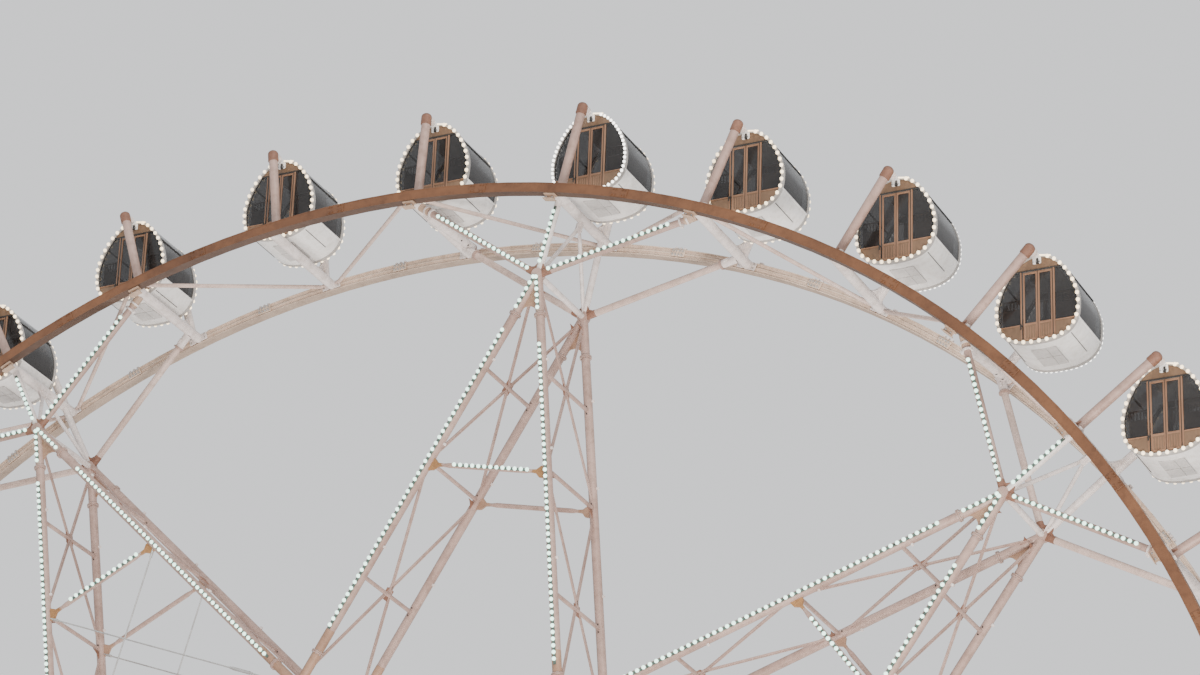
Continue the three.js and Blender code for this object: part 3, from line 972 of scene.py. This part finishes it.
def hub_flange(mesh, side):
    """A heavy flange with a bolted cover, and gussets between it and the drum."""
    way = rearward * side
    middle = way * yoke_y
    face = middle + way * hub_flange_half
    cover = face + way * hub_cover_thickness
    bore = axle_radius - 0.01
    half = rearward * hub_flange_half
    ring_block(mesh, middle - half, middle + half, hub_flange_radius, bore, white_paint, 54)
    ring_block(mesh, face, cover, hub_cover_radius, bore, brown_paint, 48)
    bolt_circle(mesh, face, way, hub_flange_radius - 0.05, hub_bolts, 0.016, 0.022, 0)
    bolt_circle(mesh, cover, way, 0.28, 12, 0.014, 0.02, 0)
    for number in range(sector_count * 2):
        turn = math.tau * number / (sector_count * 2) + first_angle
        out, along = wheel_point(1, turn), wheel_point(1, turn + math.pi / 2)
        corner = out * (hub_radius - 0.01) + middle - way * hub_flange_half
        curved_gusset(mesh, corner, out, -way, 0.19, along * 0.02, white_paint)


hub_mesh = bmesh.new()
hub_spokes(hub_mesh)
repeated(hub_mesh, sector_step, sector_count)
swung(hub_mesh, first_angle + sector_step / 2)
for half_length, outer, bore, paint in (
    (axle_half_length, axle_radius, axle_bore, zinc_coat),
    (yoke_y, hub_radius, axle_radius - 0.01, white_paint),
):
    ring_block(hub_mesh, (0, -half_length, 0), (0, half_length, 0), outer, bore, paint, 48)
hub_flange(hub_mesh, -1)
hub_flange(hub_mesh, 1)
hub_place = Matrix.Translation(axle_middle)
piece(mesh_data(hub_mesh), "hub_steelwork", "wheel", ["hub_frame"], hub_place)


# Cabins. Each hangs from its two pins, an egg-shaped drum with its round front and rear faces
# along the axle: a moulded white belly, dark tinted glass all over the top, and a pair of
# glazed doors in tan frames in both faces. All 36 are alike but for their lamp rings.
cabin_count = 36
cabin_half = 0.400
outline_half_width = 0.503
outline_middle = -0.610
top_rise = 0.640
top_powers = (2.0, 1.55)
bottom_drop = 0.468
bottom_powers = (2.5, 2.9)
outline_steps = 56
sill_z = -0.825
header_z = -0.150
threshold_z = -1.035
seam_z = -0.985
side_rail_z = -0.28
door_half_width = 0.185
door_middle_z = (header_z + threshold_z) / 2
door_height = header_z - threshold_z
face_inset = 0.018
face_thickness = 0.014
door_inset = 0.026
pane_inset = 0.028
glass_thickness = 0.008
pane_thickness = 0.006
ring_lamp_radius = 0.0235
dense_lamp_radius = 0.0190
sparse_pitch = 0.0925
dense_pitch = 0.060
ring_pattern = 9
ring_inset = 0.016
ring_stand = 0.012
ring_gap_half = 0.10
panel_white = weathered_paint(
    "white_gel_coat", (0.80, 0.79, 0.78), (0.70, 0.69, 0.68), 0.28, 0.0, 1.6, 0.5, 0.22
)
door_tan = weathered_paint(
    "tan_door_paint", (0.27, 0.15, 0.088), (0.20, 0.105, 0.06), 0.4, 0.0, 2.2, 0.3, 0.25
)
panel_brown = weathered_paint(
    "brown_face_panels", (0.19, 0.115, 0.068), (0.135, 0.08, 0.046), 0.42, 0.0, 2.2, 0.3, 0.25
)
ring_grey = weathered_paint("ring_grey", (0.42, 0.40, 0.38), (0.34, 0.32, 0.30), 0.4, 0.1, 4.0)
hatch_grey = weathered_paint(
    "grey_hatch_grille", (0.56, 0.54, 0.53), (0.47, 0.46, 0.45), 0.5, 0.1, 6.0
)
rubber = weathered_paint(
    "black_rubber", (0.018, 0.017, 0.016), (0.03, 0.028, 0.026), 0.65, 0.0, 5.0
)
seat_plastic = weathered_paint(
    "brown_seat_plastic", (0.16, 0.11, 0.09), (0.11, 0.075, 0.06), 0.4, 0.0, 3.0
)
warm_lamp = glowing("warm_white_globes", (1.0, 0.76, 0.42), 2.4)
white_lamp = glowing("cool_white_globes", (1.0, 0.97, 0.90), 3.4)


def dark_glazing():
    """Tinted safety glass: nearly black, glossy, with light rain marks in its gloss."""
    glass, tree, surface = new_finish("dark_tinted_glass", IOR=1.5, Alpha=0.58)
    place = add_node(tree, "TexCoord").outputs["Object"]
    marks = add_node(tree, "TexNoise", Scale=7.0, Detail=6.0, Vector=place).outputs["Fac"]
    tone = tone_ramp(tree, marks, (0.010, 0.010, 0.011), (0.035, 0.033, 0.032))
    gloss = add_node(tree, "MapRange", To_Min=0.03, To_Max=0.14, Value=marks).outputs["Result"]
    plug(tree, surface, Base_Color=tone, Roughness=gloss)
    return in_palette(glass)


tinted_glass = dark_glazing()


def outline_point(turn):
    """The cabin's side outline at an angle from its top, as X and Z from the pivot."""
    across, height = math.sin(turn), math.cos(turn)
    rise, (p, q) = (top_rise, top_powers) if height >= 0 else (bottom_drop, bottom_powers)
    x = outline_half_width * math.copysign(abs(across) ** (2 / p), across)
    z = outline_middle + math.copysign(rise * abs(height) ** (2 / q), height)
    return x, z


def turn_at(z):
    """The angle from its top at which the outline comes down to a height."""
    rise, (_, q) = (top_rise, top_powers) if z >= outline_middle else (bottom_drop, bottom_powers)
    share = min(1.0, abs(z - outline_middle) / rise) ** (q / 2)
    return math.acos(share if z >= outline_middle else -share)


def half_width_at(z):
    """How far the outline reaches sideways at a height."""
    return outline_point(turn_at(z))[0]


def outline(inset=0.0, start=0.0, end=math.tau):
    """The outline's points in X and Z between two angles, moved in by a distance."""
    count = round(outline_steps * (end - start) / math.tau)
    points = []
    for step in range(count if end - start == math.tau else count + 1):
        x, z = outline_point(start + (end - start) * step / count)
        share = 1 - inset / Vector((x, z - outline_middle)).length
        points.append((x * share, outline_middle + (z - outline_middle) * share))
    return points


def mirrored(mesh, axis):
    """Adds the mirror image of all that a mesh holds so far."""
    bmesh.ops.mirror(mesh, geom=[*mesh.verts, *mesh.edges, *mesh.faces], axis=axis)


def drum_skin(mesh, start, end, inset, thickness, paint):
    """The part of the drum's curved side between two angles, as a curved sheet."""
    outer = outline(inset, start, end)
    inner = outline(inset + thickness, start, end)
    section = [Vector((x, 0, z)) for x, z in [*outer, *reversed(inner)]]
    plate(mesh, section, rearward * (cabin_half * 2 - 0.04), paint)


def face_panel(mesh, heights, sides, y, thickness, paint, inset=0.02):
    """A flat part of an end face between two heights and two sides, trimmed to the outline."""
    face = mesh.faces.new([mesh.verts.new((x, y, z)) for x, z in outline(inset)])
    for place, normal in (
        (upward * heights[0], upward),
        (upward * heights[1], -upward),
        (sideways * sides[0], sideways),
        (sideways * sides[1], -sideways),
    ):
        geom = [face, *face.edges, *face.verts]
        cut = bmesh.ops.bisect_plane(
            mesh, geom=geom, plane_co=place, plane_no=normal, clear_inner=True
        )
        face = next(part for part in cut["geom"] if isinstance(part, bmesh.types.BMFace))
    _, lifted = drawn_out(mesh, [face])
    bmesh.ops.translate(mesh, verts=lifted, vec=rearward * thickness)
    dress([*face.verts, *lifted], paint)


def end_ring(mesh, start_y, depth, width, paint):
    """The moulded rim round an end face."""
    loops = []
    for inset in (0.0, width):
        verts = [mesh.verts.new((x, start_y, z)) for x, z in outline(inset)]
        loops += [mesh.edges.new(pair) for pair in zip(verts, [*verts[1:], verts[0]])]
    faces = bmesh.ops.bridge_loops(mesh, edges=loops)["faces"]
    everything = {vert for face in faces for vert in face.verts}
    _, lifted = drawn_out(mesh, faces)
    bmesh.ops.translate(mesh, verts=lifted, vec=rearward * depth)
    dress([*everything, *lifted], paint)


def cabin_shell():
    """Belly, end rings, panels, door frames and roof fittings of a cabin about its pivot."""
    mesh = bmesh.new()
    face_y = cabin_half - face_inset
    inner_y = face_y - face_thickness
    sill_width = half_width_at(sill_z)
    face_panel(mesh, (-2, sill_z), (door_half_width, 1), inner_y, face_thickness, panel_brown)
    jamb = (door_half_width + 0.010, face_y - face_thickness * 0.2, door_middle_z)
    block(mesh, jamb, (0.020, 0.022, door_height), door_tan, round_off=0.003)
    seal = (door_half_width - 0.003, face_y + face_thickness * 0.3, door_middle_z)
    block(mesh, seal, (0.007, 0.010, door_height - 0.01), rubber)
    sill = ((door_half_width + sill_width) / 2, face_y - face_thickness * 0.1, sill_z)
    block(mesh, sill, (sill_width - door_half_width - 0.04, 0.02, 0.014), door_tan, round_off=0.003)
    mirrored(mesh, "X")
    end_ring(mesh, cabin_half, -0.05, 0.030, ring_grey)
    face_panel(mesh, (header_z, 1), (-1, 1), inner_y, face_thickness, panel_brown)
    seal_y = face_y + face_thickness * 0.2
    seal_thickness = face_thickness * 0.6
    face_panel(mesh, (header_z - 0.012, header_z), (-1, 1), seal_y, seal_thickness, rubber, 0.03)
    doorway = (-door_half_width, door_half_width)
    face_panel(mesh, (-2, threshold_z), doorway, inner_y, face_thickness, rubber)
    pin_end = (0, yoke_y - arm_radius + 0.004, 0)
    tube(mesh, (0, cabin_half - 0.03, 0), pin_end, 0.022, zinc_coat, 18)
    boss = (0, cabin_half - 0.01, -0.03)
    block(mesh, boss, (0.10, 0.03, 0.11), panel_white, round_off=0.010)
    tube(mesh, (0, cabin_half - 0.01, 0), (0, cabin_half + 0.045, 0), 0.042, panel_white)
    knob = [(0.020, cabin_half + 0.03, z) for z in (-0.04, -0.09, -0.102)]
    tube(mesh, knob[0], knob[1], 0.013, rubber, 14)
    tube(mesh, knob[1], knob[2], 0.019, rubber, 14)
    spots = ((-0.036, 0.036), (-0.04, 0.04))
    boss_face = Vector((0, cabin_half + 0.004, -0.03))
    bolt_rows(mesh, boss_face, rearward, upward, *spots, 0.008, 0.009, zinc_coat)
    mirrored(mesh, "Y")
    drum_skin(mesh, turn_at(sill_z), math.tau - turn_at(sill_z), 0.004, 0.016, panel_white)
    for wall in (-1, 1):
        for height, paint in ((sill_z, panel_white), (side_rail_z, rubber)):
            rail = (wall * (half_width_at(height) - 0.006), 0, height)
            block(mesh, rail, (0.018, cabin_half * 2 - 0.06, 0.022), paint, round_off=0.004)
        seam = (wall * (half_width_at(seam_z) - 0.004), -0.06, seam_z)
        block(mesh, seam, (0.008, cabin_half * 1.3, 0.005), rubber)
    hatch_z = outline_middle - bottom_drop + 0.001
    block(mesh, (0, 0, hatch_z), (0.30, 0.44, 0.010), hatch_grey, round_off=0.003)
    block(mesh, (0, 0, hatch_z - 0.006), (0.30, 0.008, 0.006), zinc_coat)
    block(mesh, (0.03, 0, hatch_z - 0.006), (0.008, 0.44, 0.006), zinc_coat)
    return mesh_data(mesh)


def cabin_doors():
    """Two leaves in each face: a tan frame, a ribbed kick panel under its glass, a handle."""
    mesh = bmesh.new()
    y = cabin_half - door_inset
    height = door_height - 0.024
    middle_z = door_middle_z - 0.004
    leaf = door_half_width - 0.008
    kick_height = sill_z - threshold_z
    kick_z = (sill_z + threshold_z) / 2
    for x in (0.013, leaf - 0.012):
        block(mesh, (x, y, middle_z), (0.020, 0.018, height), door_tan, round_off=0.003)
    for z in (middle_z + height / 2 - 0.014, sill_z + 0.006, threshold_z + 0.026):
        block(mesh, (leaf / 2, y, z), (leaf - 0.02, 0.016, 0.026), door_tan, round_off=0.003)
    block(mesh, (leaf / 2, y - 0.002, kick_z), (leaf - 0.03, 0.008, kick_height), panel_brown)
    for number in range(5):
        rib = (0.032 + number * 0.030, y + 0.004, kick_z)
        block(mesh, rib, (0.010, 0.008, kick_height - 0.05), door_tan, round_off=0.003)
    mirrored(mesh, "X")
    block(mesh, (0, y + 0.004, middle_z), (0.006, 0.010, height), rubber)
    handle = Vector((-leaf * 1.09, y + 0.022, sill_z - 0.015))
    tube(mesh, handle, handle + rearward * 0.02, 0.010, rubber, 12)
    grip = handle + Vector((0, 0.022, -0.02))
    block(mesh, grip, (0.016, 0.012, 0.07), rubber, round_off=0.004)
    mirrored(mesh, "Y")
    return mesh_data(mesh)


def cabin_glass():
    """The curved side glass and the flat panes of both end faces."""
    mesh = bmesh.new()
    y = cabin_half - pane_inset - pane_thickness / 2
    corner, leaf = (door_half_width + 0.012, 1), (0.02, door_half_width - 0.022)
    for top, sides in ((header_z - 0.01, corner), (header_z - 0.03, leaf)):
        face_panel(mesh, (sill_z, top), sides, y, pane_thickness, tinted_glass, 0.03)
    mirrored(mesh, "X")
    mirrored(mesh, "Y")
    drum_skin(mesh, -turn_at(sill_z), turn_at(sill_z), 0.006, glass_thickness, tinted_glass)
    return mesh_data(mesh)


def cabin_inside():
    """Floor, two moulded benches along the sides, slotted screens behind the corner panes."""
    mesh = bmesh.new()
    half = cabin_half - 0.06
    y = half - 0.005
    for z, tall in ((-0.70, 0.22), (-0.485, 0.022)):
        block(mesh, (0.32, y, z), (0.22, 0.012, tall), seat_plastic, round_off=0.003)
    for number in range(6):
        slat = (0.22 + number * 0.041, y, -0.54)
        block(mesh, slat, (0.014, 0.012, 0.10), seat_plastic, round_off=0.002)
    mirrored(mesh, "Y")
    for middle, size, lean, round_off in (
        ((0.31, 0, -0.815), (0.24, half * 2 - 0.04, 0.03), 0, 0.010),
        ((0.245, 0, -0.92), (0.08, half * 2 - 0.10, 0.19), 0, 0.006),
        ((0.425, 0, -0.64), (0.022, half * 2 - 0.04, 0.32), 0.10, 0.008),
    ):
        block(mesh, middle, size, seat_plastic, upward + sideways * lean, round_off=round_off)
    mirrored(mesh, "X")
    floor_z = threshold_z + 0.012
    floor_width = half_width_at(floor_z) * 2 - 0.06
    block(mesh, (0, 0, floor_z), (floor_width, half * 2, 0.016), rubber)
    tube(mesh, (0, 0, floor_z), (0, 0, -0.10), 0.012, zinc_coat, 12)
    block(mesh, (0, 0, -0.085), (0.40, half * 2, 0.012), panel_white, round_off=0.004)
    return mesh_data(mesh)


def lamp_rings(*pitches):
    """A ring of globes round each end face, with a small light bar at its top."""
    mesh = bmesh.new()
    for side, pitch in zip((-1, 1), pitches):
        is_dense = pitch == dense_pitch
        paint = white_lamp if is_dense else warm_lamp
        radius = dense_lamp_radius if is_dense else ring_lamp_radius
        y = side * (cabin_half + ring_stand)
        points = [Vector((x, y, z)) for x, z in outline(ring_inset)]
        points.append(points[0])
        since = pitch / 2
        for start, end in zip(points, points[1:]):
            length = (end - start).length
            at = pitch - since
            while at < length:
                middle = start.lerp(end, at / length)
                if abs(middle.x) > ring_gap_half or middle.z < outline_middle:
                    globe(mesh, middle, radius, paint)
                at += pitch
            since = length - (at - pitch)
        bar = (0.10, side * (cabin_half + 0.010), outline_point(0.32)[1] + 0.012)
        slope = Vector((0.16, 0, -0.03))
        block(mesh, bar, (0.016, 0.016, 0.15), warm_lamp, slope, rearward, 0.004)
    return mesh_data(mesh)


cabin_parts = (
    (cabin_shell(), "shell", "cabin_panel"),
    (cabin_doors(), "doors", "door_frame"),
    (cabin_glass(), "glass", "cabin_glass"),
    (cabin_inside(), "seats", "cabin_panel"),
)
warm_rings = lamp_rings(sparse_pitch, sparse_pitch)
cool_front_rings = lamp_rings(dense_pitch, sparse_pitch)
cool_rear_rings = lamp_rings(sparse_pitch, dense_pitch)
ring_types = {1: cool_front_rings, 3: cool_rear_rings, 4: cool_rear_rings}
for number in range(1, cabin_count + 1):
    body = f"cabin_{number:02d}"
    place = Matrix.Translation(joints[body + "_swing"]["pos_m"])
    lamps = (ring_types.get(number % ring_pattern, warm_rings), "lamps", "lamp")
    for data, part, slot in (*cabin_parts, lamps):
        stands_for = [body] if part == "shell" else []
        piece(data.copy(), f"{body}_{part}", body, stands_for, place)
for data in (*[part[0] for part in cabin_parts], warm_rings, cool_front_rings, cool_rear_rings):
    bpy.data.meshes.remove(data)


# Supports. On each side of the wheel two round welded legs run from the bearing down to base
# plates on the ground beams, joined half way by a tie. The bearing is a split housing.
leg_top_y = 1.300
leg_foot_x = 6.000
leg_foot_y = 3.300
leg_radius = 0.230
leg_flanges_at = (0.04, 0.36, 0.68)
leg_seams_at = (0.20, 0.52, 0.84)
leg_tie_at = 0.52
leg_tie_radius = 0.130
bearing_outer = 0.420
bearing_half_length = 0.170
bearing_bore_radius = 0.206
bearing_cover_thickness = 0.03
base_top = 0.300
foot_plate_thickness = 0.035
support_paint = weathered_paint(
    "support_paint", (0.72, 0.70, 0.67), (0.62, 0.60, 0.57), 0.45, 0.0, 0.6, 0.35
)


def support_leg(mesh, start, foot):
    """A round leg whose lower end is cut level, just inside the plate that it stands on."""
    tube(mesh, start, foot + (foot - start).normalized() * leg_radius, leg_radius, support_paint, 40)
    cut = bmesh.ops.bisect_plane(
        mesh,
        geom=[*mesh.verts, *mesh.edges, *mesh.faces],
        plane_co=upward * (base_top + foot_plate_thickness / 2),
        plane_no=-upward,
        clear_outer=True,
    )
    rim = [part for part in cut["geom_cut"] if isinstance(part, bmesh.types.BMEdge)]
    bmesh.ops.edgeloop_fill(mesh, edges=rim, mat_nr=support_paint)


def leg_foot(mesh, middle):
    """The plate under a leg, with gussets all round it and eight anchor bolts."""
    block(mesh, middle, (0.80, 0.80, foot_plate_thickness), support_paint, round_off=0.006)
    top = middle + upward * foot_plate_thickness / 2
    for number in range(8):
        ray = wheel_point(1, math.tau * number / 8).xzy
        corner = top + ray * leg_radius * 0.85
        thickness = ray.cross(upward) * 0.02
        curved_gusset(mesh, corner, upward, ray, 0.17, thickness, support_paint)
    spots = ((-0.34, -0.11, 0.11, 0.34), (-0.34, 0.34))
    bolt_rows(mesh, top, upward, rearward, *spots, 0.026, 0.035, zinc_coat)


def support_frame(side):
    mesh = bmesh.new()
    top = axle_middle + rearward * side * leg_top_y
    foot = Vector((leg_foot_x, side * leg_foot_y, base_top))
    way = (foot - top).normalized()
    start = top + way * bearing_outer * 0.92
    support_leg(mesh, start, foot)
    seams_end = foot - way * 0.10
    for t in leg_flanges_at:
        pipe_flange(mesh, start.lerp(seams_end, t), way, leg_radius * 1.22, support_paint, 20)
    for t in leg_seams_at:
        seam = start.lerp(seams_end, t)
        sizes = (leg_radius * 1.012, leg_radius * 0.96)
        ring_block(mesh, seam - way * 0.012, seam + way * 0.012, *sizes, support_paint, 40)
    leg_foot(mesh, foot + upward * foot_plate_thickness / 2)
    ear = top + sideways * (bearing_outer + 0.05)
    block(mesh, ear, (0.16, bearing_half_length * 1.7, 0.14), white_paint, round_off=0.012)
    for y in (-0.08, 0.08):
        bolt(mesh, ear + Vector((0.02, y, 0.07)), upward, 0.024, 0.05, zinc_coat)
    tie_end = top.lerp(foot, leg_tie_at)
    joint = tie_end - sideways * 0.55
    pipe_flange(mesh, joint, -sideways, leg_tie_radius * 1.3, support_paint, 12)
    collar = (tie_end - sideways * 0.18, tie_end - sideways * 0.30)
    sizes = (leg_tie_radius * 1.12, leg_tie_radius * 0.9)
    ring_block(mesh, *collar, *sizes, support_paint, 32)
    mirrored(mesh, "X")
    other_end = tie_end - sideways * tie_end.x * 2
    tube(mesh, other_end, tie_end, leg_tie_radius, support_paint, 32)
    half = rearward * bearing_half_length
    ring_block(mesh, top - half, top + half, bearing_outer, bearing_bore_radius, white_paint, 54)
    for way in (-rearward, rearward):
        face = top + way * bearing_half_length
        cover = face + way * bearing_cover_thickness
        ring_block(mesh, face, cover, 0.30, bearing_bore_radius, brown_paint, 48)
        bolt_circle(mesh, cover, way, 0.26, 12, 0.014, 0.02)
    return mesh_data(mesh)


for side, end in ((-1, "front"), (1, "rear")):
    name = f"{end}_support"
    piece(support_frame(side), name + "_steelwork", "supports", [name + "_frame"])


# Base frame. Broad flange beams lie on the ground under the four feet, two along X and two
# along Y, with stiffeners under each foot and welded where they cross.
beam_width = 0.420
beam_flange = 0.030
beam_web = 0.040
beam_overhang = 0.420
stiffener_pitch = 1.0
base_paint = weathered_paint(
    "base_beam_paint", (0.42, 0.42, 0.41), (0.33, 0.33, 0.32), 0.55, 0.1, 0.8
)


def ground_beam(mesh, start, end):
    """A broad flange beam on the ground with stiffeners in its sides."""
    way = (end - start).normalized()
    side = way.cross(upward)
    middle = (start + end) / 2
    length = (end - start).length
    for z in (beam_flange / 2, base_top - beam_flange / 2):
        size = (beam_width, length, beam_flange)
        block(mesh, middle + upward * z, size, base_paint, beside=side, round_off=0.004)
    web_height = base_top - beam_flange
    mid_height = upward * base_top / 2
    size = (beam_web, length - 0.008, web_height)
    block(mesh, middle + mid_height, size, base_paint, beside=side)
    count = int(length / stiffener_pitch)
    for number in range(count + 1):
        spot = start + way * (0.02 + (length - 0.04) * number / count) + mid_height
        for half in (-1, 1):
            size = (beam_width / 2 - 0.02, 0.016, web_height)
            block(mesh, spot + side * half * beam_width / 4, size, base_paint, beside=side)


base_mesh = bmesh.new()
for wall in (-1, 1):
    along_y = rearward * (leg_foot_y + beam_overhang)
    middle = sideways * wall * leg_foot_x
    ground_beam(base_mesh, middle - along_y, middle + along_y)
    along_x = sideways * (leg_foot_x - beam_width / 2)
    middle = rearward * wall * leg_foot_y
    ground_beam(base_mesh, middle - along_x, middle + along_x)
piece(mesh_data(base_mesh), "base_beams", "supports", ["base_frame"])


# Loading platform. Chequered steel plates lie on an angle frame and square posts in front of
# the lowest cabins, with a flight of open steps at each end and pipe railings round it.
deck_top = 1.180
deck_thickness = 0.060
deck_half_length = 3.000
deck_back_y = -0.450
deck_front_y = -2.250
deck_middle_y = (deck_back_y + deck_front_y) / 2
deck_width = deck_back_y - deck_front_y
deck_plates = 6
joist_z = deck_top - deck_thickness + 0.022
post_size = 0.100
post_height = deck_top - deck_thickness
sill_height = 0.100
stair_steps = 7
stair_width = 0.900
stair_going = 0.150
stair_rise = deck_top / (stair_steps + 1)
stair_back = deck_front_y + stair_width
rail_height = 0.520
rail_radius = 0.016
rail_post_pitch = 0.75


def chequer_plate():
    """Raised-pattern steel floor plate: weathered grey paint over raised lozenges."""
    number = weathered_paint("chequered_deck", (0.34, 0.34, 0.335), (0.26, 0.26, 0.255), 0.5, 0.3, 2.0)
    tree = palette[number].node_tree
    place = add_node(tree, "TexCoord").outputs["Object"]
    slant = add_node(tree, "Mapping", Rotation=(0, 0, math.radians(45)), Scale=(34, 34, 1))
    plug(tree, slant, Vector=place)
    lozenges = add_node(tree, "TexChecker", Scale=1.0, Vector=slant.outputs["Vector"])
    raised = add_node(tree, "Bump", Strength=0.5, Distance=0.002, Height=lozenges.outputs["Fac"])
    plug(tree, tree.nodes["Principled BSDF"], Normal=raised.outputs["Normal"])
    return number


def railing(mesh, start, end):
    """A run of pipe railing between two points on the deck."""
    count = max(1, round((end - start).length / rail_post_pitch))
    for rise in (upward * rail_height, upward * rail_height * 0.55):
        tube(mesh, start + rise, end + rise, rail_radius, white_paint, 12)
    for number in range(count + 1):
        foot = start.lerp(end, number / count)
        tube(mesh, foot, foot + upward * rail_height, rail_radius, white_paint, 12)
        tube(mesh, foot, foot + upward * 0.012, rail_radius * 2.4, white_paint, 12)


def stair_flight(mesh):
    """The steps at the right end of the platform, between two stringers with railings."""
    middle_y = (deck_front_y + stair_back) / 2
    for number in range(1, stair_steps + 1):
        x = deck_half_length + number * stair_going
        top = deck_top - number * stair_rise
        tread = (x - stair_going / 2, middle_y, top - 0.010)
        tread_size = (stair_going + 0.012, stair_width - 0.02, 0.020)
        block(mesh, tread, tread_size, deck_paint, round_off=0.003)
        nosing = (x, middle_y, top - 0.018)
        block(mesh, nosing, (0.014, stair_width - 0.02, 0.036), base_paint, round_off=0.002)
    foot_x = deck_half_length + stair_steps * stair_going
    for y in (deck_front_y + 0.014, stair_back - 0.014):
        stringer = [
            (deck_half_length, deck_top - 0.03),
            (foot_x + 0.04, stair_rise * 0.9),
            (foot_x + 0.04, 0),
            (foot_x - 0.10, 0),
            (deck_half_length, deck_top - 0.27),
        ]
        corners = [Vector((x, y, z)) for x, z in stringer]
        plate(mesh, corners, rearward * 0.024, base_paint)
        rail_top = Vector((deck_half_length + 0.02, y, deck_top - 0.02))
        railing(mesh, rail_top, Vector((foot_x - 0.05, y, stair_rise)))


deck_paint = chequer_plate()
deck_mesh = bmesh.new()
stair_flight(deck_mesh)
sill_start, sill_end = deck_back_y - post_size, beam_width / 2 - leg_foot_y
sill = (deck_half_length - post_size / 2, (sill_start + sill_end) / 2, sill_height / 2)
sill_size = (post_size + 0.012, sill_start - sill_end, sill_height)
block(deck_mesh, sill, sill_size, base_paint, round_off=0.004)
rail_start = Vector((deck_half_length - 0.03, stair_back + 0.02, deck_top))
railing(deck_mesh, rail_start, Vector((rail_start.x, deck_back_y - 0.14, deck_top)))
mirrored(deck_mesh, "X")
plate_length = 2 * deck_half_length / deck_plates
for number in range(deck_plates):
    middle = (-deck_half_length + (number + 0.5) * plate_length, deck_middle_y, deck_top - 0.008)
    size = (plate_length - 0.006, deck_width - 0.01, 0.016)
    block(deck_mesh, middle, size, deck_paint, round_off=0.002)
for y in (deck_front_y + 0.02, deck_back_y - 0.02, deck_middle_y):
    size = (2 * deck_half_length, 0.04, 0.044)
    block(deck_mesh, (0, y, joist_z), size, base_paint, round_off=0.003)
for number in range(deck_plates * 2 + 1):
    x = (2 * deck_half_length - 0.04) * (number / (deck_plates * 2) - 0.5)
    block(deck_mesh, (x, deck_middle_y, joist_z), (0.03, deck_width - 0.02, 0.040), base_paint)
for number in range(4):
    x = (2 * deck_half_length - post_size) * (number / 3 - 0.5)
    for y in (deck_front_y + post_size, deck_back_y - post_size):
        size = (post_size, post_size, post_height)
        block(deck_mesh, (x, y, post_height / 2), size, base_paint, round_off=0.006)
        shoe_size = (post_size * 1.9, post_size * 1.9, 0.020)
        block(deck_mesh, (x, y, 0.010), shoe_size, base_paint, round_off=0.004)
        for way in (-sideways, sideways):
            corner = Vector((x, y, post_height)) + way * post_size / 2
            curved_gusset(deck_mesh, corner, way, -upward, 0.14, rearward * 0.012, base_paint)
front_rail = [Vector((x, deck_front_y + 0.04, deck_top)) for x in (-rail_start.x, rail_start.x)]
railing(deck_mesh, *front_rail)
piece(mesh_data(deck_mesh), "platform_steelwork", "supports", ["loading_platform"])
